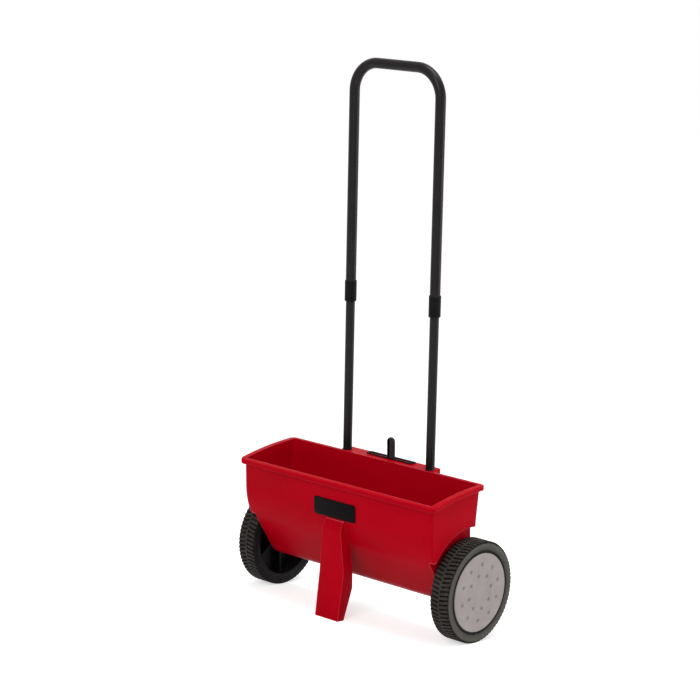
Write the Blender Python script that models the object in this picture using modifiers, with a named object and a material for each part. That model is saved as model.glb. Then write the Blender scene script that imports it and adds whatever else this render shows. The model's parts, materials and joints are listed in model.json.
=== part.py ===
"""Drop spreader: a trough hopper on two wheels, with a dosing lever, a metering slide and a U handle.

Each piece is drawn with the machine upright. The axle's centre is the origin, X points to the machine's right
side as the photograph shows it, Y points back to the handle and Z points up. One empty then tips the whole
machine forward about the axle until the stand's foot meets the ground, which is how it stands when parked.
"""
from math import acos, asin, atan2, ceil, cos, degrees, hypot, pi, radians, sin, sqrt, tan

import bmesh
import bpy
from mathutils import Matrix, Vector

GAP = 0.0003
RUNNING_GAP = 0.0004

# Hopper section, seen from the end.
WALL = 0.0025
HOPPER_FRONT = 0.110
FRONT_SLOPE = radians(31)
SLOPE_DISTANCE = 0.0456
TROUGH_DEPTH = 0.0275
BACK_FOOT = 0.029
BACK_KNEE = 0.0275
BACK_KNEE_HEIGHT = 0.128
BACK_TOP = 0.0365
FRONT_CURVE_RADIUS = 0.144
TROUGH_FRONT_RADIUS = 0.045
TROUGH_BACK_RADIUS = 0.022
BACK_KNEE_RADIUS = 0.060
CORNER_RADIUS = 0.009

# Hopper seen from the front. Above the wheels its end walls step outward.
LOWER_HALF_WIDTH = 0.225
LOWER_CORNER_RADIUS = 0.016
ARCH_STEP = 0.016
HOPPER_HALF_WIDTH = LOWER_HALF_WIDTH + ARCH_STEP

# Rim of the hopper.
RIM_OVERHANG = 0.007
RIM_END_OVERHANG = 0.0085
RIM_BACK_HEIGHT = 0.200
RIM_FALL = 0.010
RIM_CROWN = 0.004
RIM_CROWN_STEPS = 7
RIM_CORNER_RADIUS = 0.016
RIM_PLATE = 0.003
RIM_LIP_WALL = 0.0025
RIM_LIP_DEPTH = 0.0095
RIM_HALF_WIDTH = HOPPER_HALF_WIDTH + RIM_END_OVERHANG
RIM_FRONT = HOPPER_FRONT + RIM_OVERHANG
RIM_BACK = BACK_TOP + RIM_OVERHANG
RIM_FRONT_HEIGHT = RIM_BACK_HEIGHT - RIM_FALL
BACK_TOP_DROP = 0.013
BACK_TOP_HEIGHT = RIM_BACK_HEIGHT - BACK_TOP_DROP

# Wheels. Distances along a wheel are measured inward from its outer face.
WHEEL_RADIUS = 0.100
WHEEL_WIDTH = 0.044
TYRE_DEPTH = 0.0177
TYRE_SHOULDER = 0.004
TYRE_SHOULDER_SHARE = 0.3
TYRE_WALL = 0.008
TYRE_TREAD_THICKNESS = 0.007
TYRE_SIDES = 40
TYRE_INNER_RADIUS = WHEEL_RADIUS - TYRE_DEPTH

TREAD_PITCHES = 40
TREAD_DEPTH = 0.0020
TREAD_GROOVE_WIDTH = 0.0056
TREAD_BAND = 0.005
TREAD_SKEW = radians(9)
TREAD_OVERRUN = 0.001
TREAD_GROOVE_LENGTH = (WHEEL_WIDTH - TREAD_BAND) / 2 + TREAD_OVERRUN

WHEEL_RIM_WALL = 0.004
WHEEL_WEB_DEPTH = 0.0040
WHEEL_WEB_THICKNESS = 0.004
WHEEL_RIBS = 6
WHEEL_RIB_THICKNESS = 0.003
WHEEL_RIB_DEPTH = 0.016
WHEEL_RIM_RADIUS = TYRE_INNER_RADIUS - GAP
HUB_RADIUS = 0.017
HUB_RECESS_RADIUS = 0.012
HUB_RECESS_DEPTH = 0.010

CAP_MARGIN = 0.005
CAP_THICKNESS = 0.0032
CAP_EDGE = 0.001
CAP_SPIGOT_WALL = 0.0015
CAP_SPIGOT_LENGTH = 0.0043
CAP_RADIUS = WHEEL_RIM_RADIUS - CAP_MARGIN
CAP_SPIGOT_RADIUS = HUB_RECESS_RADIUS - GAP
DENT_RADIUS = 0.0055
DENT_DEPTH = 0.0012
DENT_BOTTOM_SHARE = 0.5
OUTER_DENTS = 10
OUTER_DENT_CIRCLE = 0.0555
OUTER_DENT_PHASE = radians(12)
INNER_DENTS = 8
INNER_DENT_CIRCLE = 0.034
INNER_DENT_PHASE = radians(8)

# The wheels stand beside the hopper's bushes, and the end walls clear the tyres.
BUSH_FLANGE_THICKNESS = 0.0029
HUB_END = LOWER_HALF_WIDTH + GAP + BUSH_FLANGE_THICKNESS + GAP
TRACK_HALF = HUB_END + WHEEL_WIDTH
ARCH_CLEARANCE = 0.022
ARCH_RADIUS = WHEEL_RADIUS + ARCH_CLEARANCE

# Axle and what turns on it.
AXLE_RADIUS = 0.005
AXLE_END_DEPTH = 0.0052
AXLE_END = TRACK_HALF - AXLE_END_DEPTH
AXLE_BORE_RADIUS = AXLE_RADIUS + RUNNING_GAP
DRIVE_PIN_RADIUS = 0.002
DRIVE_PIN_LENGTH = 0.026
SPLIT_PIN_RADIUS = 0.00125
SPLIT_PIN_LENGTH = 0.017
AXLE_WASHER_MARGIN = 0.002
AXLE_WASHER_THICKNESS = 0.0012
AXLE_WASHER_RADIUS = HUB_RECESS_RADIUS - AXLE_WASHER_MARGIN
BUSH_WALL = 0.0031
BUSH_FLANGE = 0.0045
BUSH_REACH = 0.0105
BUSH_RADIUS = AXLE_BORE_RADIUS + BUSH_WALL
AGITATOR_WALL = 0.003
AGITATOR_CLEARANCE = 0.0035
AGITATOR_BAR_WIDTH = 0.006
AGITATOR_BAR_DEPTH = 0.005
AGITATOR_TWIST = radians(60)
AGITATOR_START = radians(30)
AGITATOR_PIN_PROUD = 0.001
AGITATOR_RADIUS = AXLE_RADIUS + AGITATOR_WALL
AGITATOR_REACH = TROUGH_DEPTH - WALL - AGITATOR_CLEARANCE

# Handle. Its tubes stand behind the hopper's back wall and lean backward.
HANDLE_HALF_WIDTH = 0.107
HANDLE_LEAN = 0.030
HANDLE_STANDOFF = 0.0066
HANDLE_TOP = 0.977
HANDLE_BEND_RADIUS = 0.057
HANDLE_Y = BACK_TOP + HANDLE_STANDOFF
LOWER_TUBE_RADIUS = 0.00905
LOWER_TUBE_WALL = 0.0009
UPPER_TUBE_WALL = 0.0009
UPPER_TUBE_RADIUS = LOWER_TUBE_RADIUS + GAP + UPPER_TUBE_WALL

# Joint of the two tube sizes. Heights are measured from the sleeve's middle.
JOINT_HEIGHT = 0.525
SLEEVE_HALF_LENGTH = 0.021
SLEEVE_WALL = 0.00125
SLEEVE_RADIUS = UPPER_TUBE_RADIUS + GAP + SLEEVE_WALL
UPPER_TUBE_REACH = 0.005
LOWER_TUBE_REACH = 0.035
UPPER_TUBE_BOTTOM = JOINT_HEIGHT - UPPER_TUBE_REACH
LOWER_TUBE_TOP = JOINT_HEIGHT + LOWER_TUBE_REACH
JOINT_SCREW_RISE = 0.008
JOINT_SCREW_HEIGHT = JOINT_HEIGHT + JOINT_SCREW_RISE
JOINT_SCREW_RADIUS = 0.0018
JOINT_SCREW_HEAD_RADIUS = 0.0036
JOINT_SCREW_HEAD_HEIGHT = 0.0022
JOINT_SCREW_DEPTH = 0.0060

# Sockets of the handle tubes, with a bolt through each.
SOCKET_WALL = 0.0041
SOCKET_LENGTH = 0.108
SOCKET_FLOOR = 0.004
SOCKET_CORNER_RADIUS = 0.004
SOCKET_BOTTOM = RIM_BACK_HEIGHT - SOCKET_LENGTH
SOCKET_HALF_WIDTH = LOWER_TUBE_RADIUS + GAP + SOCKET_WALL
SOCKET_BACK = HANDLE_Y + HANDLE_LEAN * RIM_BACK_HEIGHT + SOCKET_HALF_WIDTH
HANDLE_BOLT_RISE = 0.036
HANDLE_BOLT_HEIGHT = SOCKET_BOTTOM + HANDLE_BOLT_RISE
HANDLE_BOLT_RADIUS = 0.0025
HANDLE_BOLT_HEAD_RADIUS = 0.0048
HANDLE_BOLT_HEAD_HEIGHT = 0.0032
HANDLE_NUT_RADIUS = 0.0046
HANDLE_NUT_HEIGHT = 0.004

# Drop slots and metering slide.
SLOT_COUNT = 13
SLOT_WIDTH = 0.014
SLOT_LENGTH = 0.012
SLOT_MIDDLE = 0.002
SLOT_END_MARGIN = 0.033
SLOT_PITCH = 2 * (LOWER_HALF_WIDTH - SLOT_END_MARGIN) / (SLOT_COUNT - 1)
SLOT_FRONT = SLOT_MIDDLE - SLOT_LENGTH / 2
SLOT_BACK = SLOT_MIDDLE + SLOT_LENGTH / 2
SLIDE_EDGE = 0.004
SLIDE_THICKNESS = 0.0023
SLIDE_END_MARGIN = 0.013
SLIDE_FRONT = SLOT_FRONT - SLIDE_EDGE
SLIDE_BACK = SLOT_BACK + SLIDE_EDGE
SLIDE_TOP = -TROUGH_DEPTH - GAP
SLIDE_BOTTOM = SLIDE_TOP - SLIDE_THICKNESS
SLIDE_MIDDLE = (SLIDE_TOP + SLIDE_BOTTOM) / 2
HOOK_WALL = 0.0032
HOOK_LIP = 0.0028
HOOK_LIP_THICKNESS = 0.0018
HOOK_WIDTH = 0.020
HOOK_INNER_PLACE = 0.070
HOOK_END_MARGIN = 0.045
HOOK_PLACES = (HOOK_INNER_PLACE, LOWER_HALF_WIDTH - HOOK_END_MARGIN)

# Dosing lever behind the hopper. Its tongue moves the slide.
LEVER_STANDOFF = 0.0215
LEVER_THICKNESS = 0.006
LEVER_SWING = radians(12)
LEVER_PIVOT_HEIGHT = 0.0085
LEVER_REACH = 0.043
LEVER_WIDTH = 0.017
LEVER_WAIST = 0.012
LEVER_WIDE_DROP = 0.050
LEVER_HUB_RADIUS = 0.0115
LEVER_TIP_WIDTH = 0.008
LEVER_TIP_REACH = 0.004
LEVER_TIP_RADIUS = 0.001
LEVER_WAIST_RADIUS = 0.010
LEVER_END_FLAT = 0.0004
LEVER_GUIDE_GAP = 0.0006
LEVER_SHELF_GAP = 0.0009
LEVER_Y = BACK_TOP + LEVER_STANDOFF
LEVER_FRONT = LEVER_Y - LEVER_THICKNESS / 2
LEVER_BACK = LEVER_Y + LEVER_THICKNESS / 2
LEVER_TOP = RIM_BACK_HEIGHT + LEVER_REACH
LEVER_WIDE_FROM = RIM_BACK_HEIGHT - LEVER_WIDE_DROP
SLIDE_TRAVEL = (LEVER_PIVOT_HEIGHT - SLIDE_MIDDLE) * tan(LEVER_SWING)
SLIDE_TAB_HALF_WIDTH = 0.012
SLIDE_TAB_MARGIN = 0.008
SLIDE_TAB_CORNER_RADIUS = 0.003
PIVOT_RADIUS = 0.003
PIVOT_DEPTH = 0.018
PIVOT_HEAD_RADIUS = 0.0065
PIVOT_HEAD_HEIGHT = 0.0042
PIVOT_WASHER_RADIUS = 0.0085
PIVOT_WASHER_THICKNESS = 0.0012
LEVER_BOSS_RADIUS = 0.0095
LEVER_BOSS_ROOT_RADIUS = 0.0145

# Slotted guide plate of the lever and the shelf that carries it.
GUIDE_HALF_WIDTH = 0.008
GUIDE_THICKNESS = 0.002
GUIDE_CORNER_RADIUS = 0.003
GUIDE_SLOT_MARGIN = 0.0007
GUIDE_END_MARGIN = 0.0084
GUIDE_SCREW_RADIUS = 0.0014
GUIDE_SCREW_HEAD_RADIUS = 0.0028
GUIDE_SCREW_HEAD_HEIGHT = 0.0016
GUIDE_SCREW_LENGTH = 0.0075
GUIDE_SCREW_INSET = 0.0045
GUIDE_BOTTOM = RIM_BACK_HEIGHT + GAP
GUIDE_TOP = GUIDE_BOTTOM + GUIDE_THICKNESS
SWING_AT_GUIDE = (GUIDE_TOP - LEVER_PIVOT_HEIGHT) * tan(LEVER_SWING)
GUIDE_SLOT_HALF = SWING_AT_GUIDE + LEVER_WIDTH / 2 / cos(LEVER_SWING) + GUIDE_SLOT_MARGIN
GUIDE_HALF_LENGTH = GUIDE_SLOT_HALF + GUIDE_END_MARGIN
SHELF_END_MARGIN = 0.012
SHELF_BACK_MARGIN = 0.004
SHELF_CORNER_RADIUS = 0.006
SHELF_HALF_WIDTH = HANDLE_HALF_WIDTH + SHELF_END_MARGIN
SHELF_BACK = LEVER_Y + GUIDE_HALF_WIDTH + SHELF_BACK_MARGIN

# Plate on the front face.
PLATE_HALF_LENGTH = 0.053
PLATE_HALF_HEIGHT = 0.018
PLATE_DROP = 0.055
PLATE_THICKNESS = 0.0012
PLATE_CORNER_RADIUS = 0.005
PLATE_HEIGHT = RIM_FRONT_HEIGHT - PLATE_DROP

# Stand, from just below the plate to the ground.
STAND_HALF_WIDTH = 0.031
STAND_TOP_HALF_WIDTH = 0.022
STAND_FOOT_HALF_WIDTH = 0.029
STAND_PLATE_MARGIN = 0.003
STAND_SHOULDER_LENGTH = 0.016
STAND_SHOULDER_RADIUS = 0.012
STAND_PROUD = 0.010
STAND_HIDDEN = 0.0165
STAND_BEND = 0.010
STAND_BEND_RADIUS = 0.080
STAND_TOE_REACH = 0.136
STAND_TOE_DROP = 0.0814
STAND_FOOT_DEPTH = 0.018
STAND_KNEE_DROP = 0.023
STAND_KNEE_RADIUS = 0.010
STAND_WALL = 0.0025
STAND_SOLE = 0.004
STAND_EDGE_RADIUS = 0.0035
STAND_TOP = PLATE_HEIGHT - PLATE_HALF_HEIGHT - STAND_PLATE_MARGIN
STAND_FRONT = HOPPER_FRONT + STAND_PROUD
STAND_BACK = HOPPER_FRONT - STAND_HIDDEN
STAND_SCREW_X = 0.015
STAND_SCREW_DROP = 0.018
STAND_SCREW_RADIUS = 0.0025
STAND_SCREW_HEAD_RADIUS = 0.0045
STAND_SCREW_HEAD_HEIGHT = 0.0026
STAND_SCREW_LENGTH = 0.0115
STAND_NUT_RADIUS = 0.0045
STAND_NUT_HEIGHT = 0.004

# Screw heads, as shares of their own radius and height.
HEAD_TOP_SHARE = 0.85
HEAD_SIDE_SHARE = 0.7

# How finely curves are cut, and how far cutters run past what they cut.
ARC_STEP = radians(22.5)
ARC_FLATNESS = 0.0002
HANDLE_BEND_STEPS = 7
ROUND_SIDES = 32
ARCH_SIDES = 48
DENT_SIDES = 6
SMALL_SIDES = 10
PIN_SIDES = 16
TUBE_SIDES = 16
NUT_SIDES = 6
SHARP_ANGLE = radians(32)
PAST = 0.002
FAR = 0.300

# The parked pose: tipped forward about the axle until the toe is as low as the tyres.
SIDES = {"left": -1, "right": 1}
TOE_DISTANCE = hypot(STAND_TOE_REACH, STAND_TOE_DROP)
PARK_TILT = asin(WHEEL_RADIUS / TOE_DISTANCE) - atan2(STAND_TOE_DROP, STAND_TOE_REACH)
RIM_FRONT_WORLD = RIM_FRONT * cos(PARK_TILT) + RIM_FRONT_HEIGHT * sin(PARK_TILT)
MACHINE_Y = (RIM_FRONT_WORLD - WHEEL_RADIUS) / 2
FRONT_CURVE_CENTRE = Vector((0.0, -HOPPER_FRONT + FRONT_CURVE_RADIUS,
                             (cos(FRONT_SLOPE) * HOPPER_FRONT - SLOPE_DISTANCE) / sin(FRONT_SLOPE)
                             + FRONT_CURVE_RADIUS * tan(FRONT_SLOPE / 2)))
STAND_SCREW_ANGLE = asin((FRONT_CURVE_CENTRE.z - STAND_TOP + STAND_SCREW_DROP) / FRONT_CURVE_RADIUS)

# Finishes: colour, roughness, metallic.
RED = ((0.42, 0.004, 0.012, 1.0), 0.38, 0.0)
BLACK = ((0.012, 0.012, 0.013, 1.0), 0.45, 0.0)
BLACK_PAINT = ((0.010, 0.009, 0.010, 1.0), 0.35, 0.0)
RUBBER = ((0.028, 0.028, 0.027, 1.0), 0.75, 0.0)
GREY = ((0.38, 0.34, 0.34, 1.0), 0.50, 0.0)
ZINC = ((0.60, 0.60, 0.62, 1.0), 0.35, 1.0)
NATURAL = ((0.70, 0.69, 0.65, 1.0), 0.45, 0.0)

ALONG_X = Matrix(((0, 0, 1, 0), (1, 0, 0, 0), (0, 1, 0, 0), (0, 0, 0, 1)))
ALONG_Y = Matrix(((1, 0, 0, 0), (0, 0, -1, 0), (0, 1, 0, 0), (0, 0, 0, 1)))
ALONG_Z = Matrix.Identity(4)


def clear_scene():
    for obj in list(bpy.data.objects):
        bpy.data.objects.remove(obj, do_unlink=True)


def new_collection(name):
    collection = bpy.data.collections.new(name)
    bpy.context.scene.collection.children.link(collection)
    return collection


clear_scene()
PARTS = new_collection("drop_spreader")
CUTTERS = new_collection("cutters")
MACHINE = bpy.data.objects.new("machine", None)
MACHINE.location = (0.0, MACHINE_Y, WHEEL_RADIUS)
MACHINE.rotation_euler = (PARK_TILT, 0.0, 0.0)
PARTS.objects.link(MACHINE)


# Meshes of the simple shapes, in the machine's upright frame.

def box(low, high):
    bm = bmesh.new()
    bmesh.ops.create_cube(bm, size=1.0)
    low = Vector(low)
    high = Vector(high)
    bmesh.ops.scale(bm, vec=high - low, verts=bm.verts)
    bmesh.ops.translate(bm, vec=(low + high) / 2, verts=bm.verts)
    return to_mesh(bm)


def cylinder(start, end, radius, sides=SMALL_SIDES, end_radius=None):
    start = Vector(start)
    end = Vector(end)
    axis = end - start
    bm = bmesh.new()
    top = radius if end_radius is None else end_radius
    bmesh.ops.create_cone(bm, cap_ends=True, segments=sides, radius1=radius, radius2=top, depth=axis.length)
    turn = axis.to_track_quat("Z", "Y").to_matrix().to_4x4()
    bmesh.ops.transform(bm, matrix=Matrix.Translation((start + end) / 2) @ turn, verts=bm.verts)
    return to_mesh(bm)


def hole_radius(radius, sides=SMALL_SIDES, gap=GAP):
    """Radius of a hole with flat sides that clears a round piece all the way round."""
    return (radius + gap) / cos(pi / sides)


def to_mesh(bm):
    mesh = bpy.data.meshes.new("shape")
    bm.to_mesh(mesh)
    bm.free()
    return mesh


def join(meshes):
    bm = bmesh.new()
    for mesh in meshes:
        bm.from_mesh(mesh)
    return to_mesh(bm)


def evaluated_mesh(obj):
    """The object's mesh as the viewport shows it, with the object removed."""
    bpy.context.scene.collection.objects.link(obj)
    depsgraph = bpy.context.evaluated_depsgraph_get()
    mesh = bpy.data.meshes.new_from_object(obj.evaluated_get(depsgraph), depsgraph=depsgraph)
    bpy.data.objects.remove(obj, do_unlink=True)
    return mesh


def slab(outline, low, high, direction):
    """A flat outline given thickness from low to high along the direction."""
    curve = bpy.data.curves.new("outline", "CURVE")
    curve.dimensions = "2D"
    curve.fill_mode = "BOTH"
    curve.extrude = (high - low) / 2
    spline = curve.splines.new("POLY")
    spline.points.add(len(outline) - 1)
    for point, (u, v) in zip(spline.points, outline):
        point.co = (u, v, 0.0, 1.0)
    spline.use_cyclic_u = True
    mesh = evaluated_mesh(bpy.data.objects.new("outline", curve))
    sign = -1 if direction is ALONG_Y else 1
    bm = bmesh.new()
    bm.from_mesh(mesh)
    bmesh.ops.remove_doubles(bm, verts=bm.verts, dist=1e-6)
    bmesh.ops.dissolve_limit(bm, angle_limit=radians(0.5), verts=bm.verts, edges=bm.edges)
    bmesh.ops.translate(bm, vec=(0.0, 0.0, sign * (low + high) / 2), verts=bm.verts)
    bmesh.ops.transform(bm, matrix=direction, verts=bm.verts)
    bmesh.ops.recalc_face_normals(bm, faces=bm.faces)
    return to_mesh(bm)


def tube(points, radius, sides):
    """The outside of a tube along the points, open at both ends."""
    curve = bpy.data.curves.new("route", "CURVE")
    curve.dimensions = "3D"
    curve.bevel_depth = radius
    curve.bevel_resolution = sides // 2 - 2
    spline = curve.splines.new("POLY")
    spline.points.add(len(points) - 1)
    for point, place in zip(spline.points, points):
        point.co = (*place, 1.0)
    mesh = evaluated_mesh(bpy.data.objects.new("route", curve))
    bm = bmesh.new()
    bm.from_mesh(mesh)
    bmesh.ops.remove_doubles(bm, verts=bm.verts, dist=1e-6)
    bmesh.ops.recalc_face_normals(bm, faces=bm.faces)
    return to_mesh(bm)


def arc_steps(radius, turn):
    """How many straight pieces keep an arc within the flatness."""
    step = min(ARC_STEP, 2 * acos(max(0.0, 1 - ARC_FLATNESS / radius)))
    return ceil(abs(turn) / step)


def arc_points(centre, radius, start, end, steps=None):
    steps = steps or arc_steps(radius, end - start)
    angles = [start + (end - start) * step / steps for step in range(steps + 1)]
    return [(centre[0] + radius * cos(angle), centre[1] + radius * sin(angle)) for angle in angles]


def rounded(corners):
    """Points of a closed outline whose corners (u, v, radius) are rounded off."""
    points = []
    for index, (u, v, radius) in enumerate(corners):
        here = Vector((u, v))
        to_last = (Vector(corners[index - 1][:2]) - here).normalized()
        to_next = (Vector(corners[(index + 1) % len(corners)][:2]) - here).normalized()
        half = to_last.angle(to_next) / 2
        if radius <= 0.0 or pi / 2 - half < radians(0.5):
            points.append((u, v))
            continue
        centre = here + (to_last + to_next).normalized() * radius / sin(half)
        start = here + to_last * radius / tan(half) - centre
        turn = pi - 2 * half
        sign = 1 if to_last.cross(to_next) < 0 else -1
        angle = atan2(start.y, start.x)
        points += arc_points(centre, radius, angle, angle + sign * turn)
    return points


def inset(corners, distance):
    """The corners of a counterclockwise outline moved inward by the distance, or outward if it is negative."""
    count = len(corners)
    moved = []
    for index, (u, v, radius) in enumerate(corners):
        here = Vector((u, v))
        before = (here - Vector(corners[index - 1][:2])).normalized()
        after = (Vector(corners[(index + 1) % count][:2]) - here).normalized()
        normal_before = Vector((-before.y, before.x))
        normal_after = Vector((-after.y, after.x))
        shift = (normal_before + normal_after) * distance / (1 + normal_before.dot(normal_after))
        convex = before.cross(after) > 0
        new_radius = max(0.0, radius - distance if convex else radius + distance) if radius else 0.0
        moved.append((u + shift.x, v + shift.y, new_radius))
    return moved


def rectangle(u0, u1, v0, v1, radius=0.0):
    return [(u0, v0, radius), (u1, v0, radius), (u1, v1, radius), (u0, v1, radius)]


# Objects.

def finish_material(name, finish):
    colour, roughness, metallic = finish
    material = bpy.data.materials.new(name)
    material.use_nodes = True
    shader = material.node_tree.nodes["Principled BSDF"]
    shader.inputs["Base Color"].default_value = colour
    shader.inputs["Roughness"].default_value = roughness
    shader.inputs["Metallic"].default_value = metallic
    material.diffuse_color = colour
    return material


def add_part(name, mesh, finish, origin=(0.0, 0.0, 0.0)):
    """A named piece of the machine. Its mesh is given in the machine's frame and hung on its origin."""
    mesh.name = name
    mesh.transform(Matrix.Translation(-Vector(origin)))
    mesh.materials.clear()
    mesh.materials.append(finish_material(name, finish))
    obj = bpy.data.objects.new(name, mesh)
    obj.location = origin
    obj.parent = MACHINE
    PARTS.objects.link(obj)
    shade(mesh)
    return obj


def shade(mesh):
    mesh.shade_smooth()
    mesh.set_sharp_from_angle(angle=SHARP_ANGLE)


def add_cutter(name, mesh):
    obj = bpy.data.objects.new(name, mesh)
    obj.parent = MACHINE
    obj.hide_render = True
    obj.display_type = "WIRE"
    CUTTERS.objects.link(obj)
    return obj


def combine(obj, other, operation="DIFFERENCE"):
    modifier = obj.modifiers.new(operation.lower(), "BOOLEAN")
    modifier.operation = operation
    modifier.solver = "EXACT"
    modifier.object = other
    return obj


def bevel(obj, width, segments, limit=radians(40)):
    modifier = obj.modifiers.new("rounding", "BEVEL")
    modifier.width = width
    modifier.segments = segments
    modifier.limit_method = "ANGLE"
    modifier.angle_limit = limit
    return obj


def turned(name, profile, segments, finish, centre=(0.0, 0.0, 0.0), axis=(0.0, 0.0, 1.0), closed=True):
    """A turned piece. The profile lists (radius, height) down its outer side; height runs along the axis."""
    mesh = bpy.data.meshes.new(name)
    last = len(profile) - 1
    edges = [(index, index + 1) for index in range(last)]
    if closed:
        edges.append((last, 0))
    mesh.from_pydata([(radius, 0.0, height) for radius, height in profile], edges, [])
    mesh.materials.append(finish_material(name, finish))
    obj = bpy.data.objects.new(name, mesh)
    obj.location = centre
    obj.rotation_mode = "QUATERNION"
    obj.rotation_quaternion = Vector(axis).to_track_quat("Z", "Y")
    obj.parent = MACHINE
    PARTS.objects.link(obj)
    screw = obj.modifiers.new("turned", "SCREW")
    screw.axis = "Z"
    screw.angle = 2 * pi
    screw.steps = segments
    screw.render_steps = segments
    screw.use_merge_vertices = True
    screw.merge_threshold = 1e-6
    screw.use_smooth_shade = True
    return obj


def match(cutter, obj):
    """Puts a cutter drawn in a turned piece's own frame where that piece is."""
    cutter.location = obj.location
    cutter.rotation_mode = "QUATERNION"
    cutter.rotation_quaternion = obj.rotation_quaternion
    return cutter


def fastener(name, seat, direction, shank_radius, shank_length, head_radius, head_height, sides=SMALL_SIDES):
    """A screw whose head sits on the seat and whose shank runs back against the direction it points."""
    profile = [(0.0, head_height), (head_radius * HEAD_TOP_SHARE, head_height),
               (head_radius, head_height * HEAD_SIDE_SHARE), (head_radius, 0.0), (shank_radius, 0.0),
               (shank_radius, -shank_length), (0.0, -shank_length)]
    return turned(name, profile, sides, ZINC, seat, direction, closed=False)


def ring(name, seat, direction, outer, inner, height, finish=ZINC, sides=SMALL_SIDES):
    """A washer or a nut that stands on the seat."""
    profile = [(outer, height), (outer, 0.0), (inner, 0.0), (inner, height)]
    return turned(name, profile, sides, finish, seat, direction)


# Hopper.

def section_corners():
    """Outer corners of the trough's section in the plane (y, z), open upward far above the rim."""
    high_front = (cos(FRONT_SLOPE) * HOPPER_FRONT - SLOPE_DISTANCE) / sin(FRONT_SLOPE)
    low_front = -(SLOPE_DISTANCE - sin(FRONT_SLOPE) * TROUGH_DEPTH) / cos(FRONT_SLOPE)
    back_flare = (BACK_TOP - BACK_KNEE) / (BACK_TOP_HEIGHT - BACK_KNEE_HEIGHT)
    return [(-HOPPER_FRONT, FAR, 0.0),
            (-HOPPER_FRONT, high_front, FRONT_CURVE_RADIUS),
            (low_front, -TROUGH_DEPTH, TROUGH_FRONT_RADIUS),
            (BACK_FOOT, -TROUGH_DEPTH, TROUGH_BACK_RADIUS),
            (BACK_KNEE, BACK_KNEE_HEIGHT, BACK_KNEE_RADIUS),
            (BACK_KNEE + back_flare * (FAR - BACK_KNEE_HEIGHT), FAR, 0.0)]


def section_slab(distance, half_width):
    return slab(rounded(inset(section_corners(), distance)), -half_width, half_width, ALONG_X)


def rim_height(y):
    """Height of the rim's top: low in front, nearly level at the back."""
    share = min(1.0, max(0.0, (y + RIM_FRONT) / (RIM_FRONT + RIM_BACK)))
    rise = RIM_BACK_HEIGHT - RIM_FRONT_HEIGHT
    return RIM_FRONT_HEIGHT + rise * share + 4 * RIM_CROWN * share * (1 - share)


def rim_band(below, above):
    """A slab across the machine that follows the rim's top, from below it to above it."""
    step = (RIM_FRONT + RIM_BACK) / RIM_CROWN_STEPS
    stations = [-FAR] + [-RIM_FRONT + step * index for index in range(RIM_CROWN_STEPS + 1)] + [FAR]
    lower = [(y, rim_height(y) - below) for y in stations]
    upper = [(y, rim_height(y) + above) for y in reversed(stations)]
    return slab(lower + upper, -FAR, FAR, ALONG_X)


def arch_cylinders(radius, inner_x):
    return join([cylinder((side * inner_x, 0.0, 0.0), (side * FAR, 0.0, 0.0), radius, sides=ARCH_SIDES)
                 for side in SIDES.values()])


def trough_shape(prefix, distance):
    """The hopper's outside, or its inside when set in by the wall."""
    upper = add_cutter(prefix + "_upper", section_slab(distance, HOPPER_HALF_WIDTH - distance))
    bevel(upper, CORNER_RADIUS - distance, 3)
    arches = arch_cylinders(ARCH_RADIUS + distance, LOWER_HALF_WIDTH - distance)
    combine(upper, add_cutter(prefix + "_arches", arches))
    lower = add_cutter(prefix + "_lower", section_slab(distance, LOWER_HALF_WIDTH - distance))
    bevel(lower, LOWER_CORNER_RADIUS - distance, 4)
    combine(upper, lower, "UNION")
    return upper


def rim_tray():
    plan = rectangle(-RIM_HALF_WIDTH, RIM_HALF_WIDTH, -RIM_FRONT, RIM_BACK, RIM_CORNER_RADIUS)
    tray = add_cutter("rim_tray", slab(rounded(plan), 0.0, FAR, ALONG_Z))
    combine(tray, add_cutter("rim_band", rim_band(RIM_LIP_DEPTH, 0.0)), "INTERSECT")
    hollow = add_cutter("rim_hollow", slab(rounded(inset(plan, RIM_LIP_WALL)), 0.0, FAR, ALONG_Z))
    combine(hollow, add_cutter("rim_hollow_band", rim_band(RIM_LIP_DEPTH + PAST, -RIM_PLATE)), "INTERSECT")
    return combine(tray, hollow)


def shelf_tray():
    front = BACK_TOP - WALL
    plan = rectangle(-SHELF_HALF_WIDTH, SHELF_HALF_WIDTH, front, SHELF_BACK, SHELF_CORNER_RADIUS)
    low = RIM_BACK_HEIGHT - RIM_LIP_DEPTH
    tray = add_cutter("shelf_tray", slab(rounded(plan), low, RIM_BACK_HEIGHT, ALONG_Z))
    inner = rounded(inset(plan, RIM_LIP_WALL))
    hollow = slab(inner, low - PAST, RIM_BACK_HEIGHT - RIM_PLATE, ALONG_Z)
    return combine(tray, add_cutter("shelf_hollow", hollow))


def handle_point(x, height):
    return Vector((x, HANDLE_Y + HANDLE_LEAN * height, height))


def sockets():
    blocks = []
    for side in SIDES.values():
        x = side * HANDLE_HALF_WIDTH
        plan = rectangle(x - SOCKET_HALF_WIDTH, x + SOCKET_HALF_WIDTH, 0.0, SOCKET_BACK, SOCKET_CORNER_RADIUS)
        blocks.append(slab(rounded(plan), SOCKET_BOTTOM, RIM_BACK_HEIGHT - RIM_PLATE / 2, ALONG_Z))
    return add_cutter("sockets", join(blocks))


def hook_outline(side):
    """Section of a guide hook under the trough: a web beside the slide and a lip below it."""
    web = SLIDE_FRONT - GAP if side < 0 else SLIDE_BACK + GAP
    low = SLIDE_BOTTOM - GAP - HOOK_LIP_THICKNESS
    lip_top = SLIDE_BOTTOM - GAP
    top = -TROUGH_DEPTH + WALL / 2
    outer = web + side * HOOK_WALL
    tip = web - side * HOOK_LIP
    return [(outer, low), (outer, top), (web, top), (web, lip_top), (tip, lip_top), (tip, low)]


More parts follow.
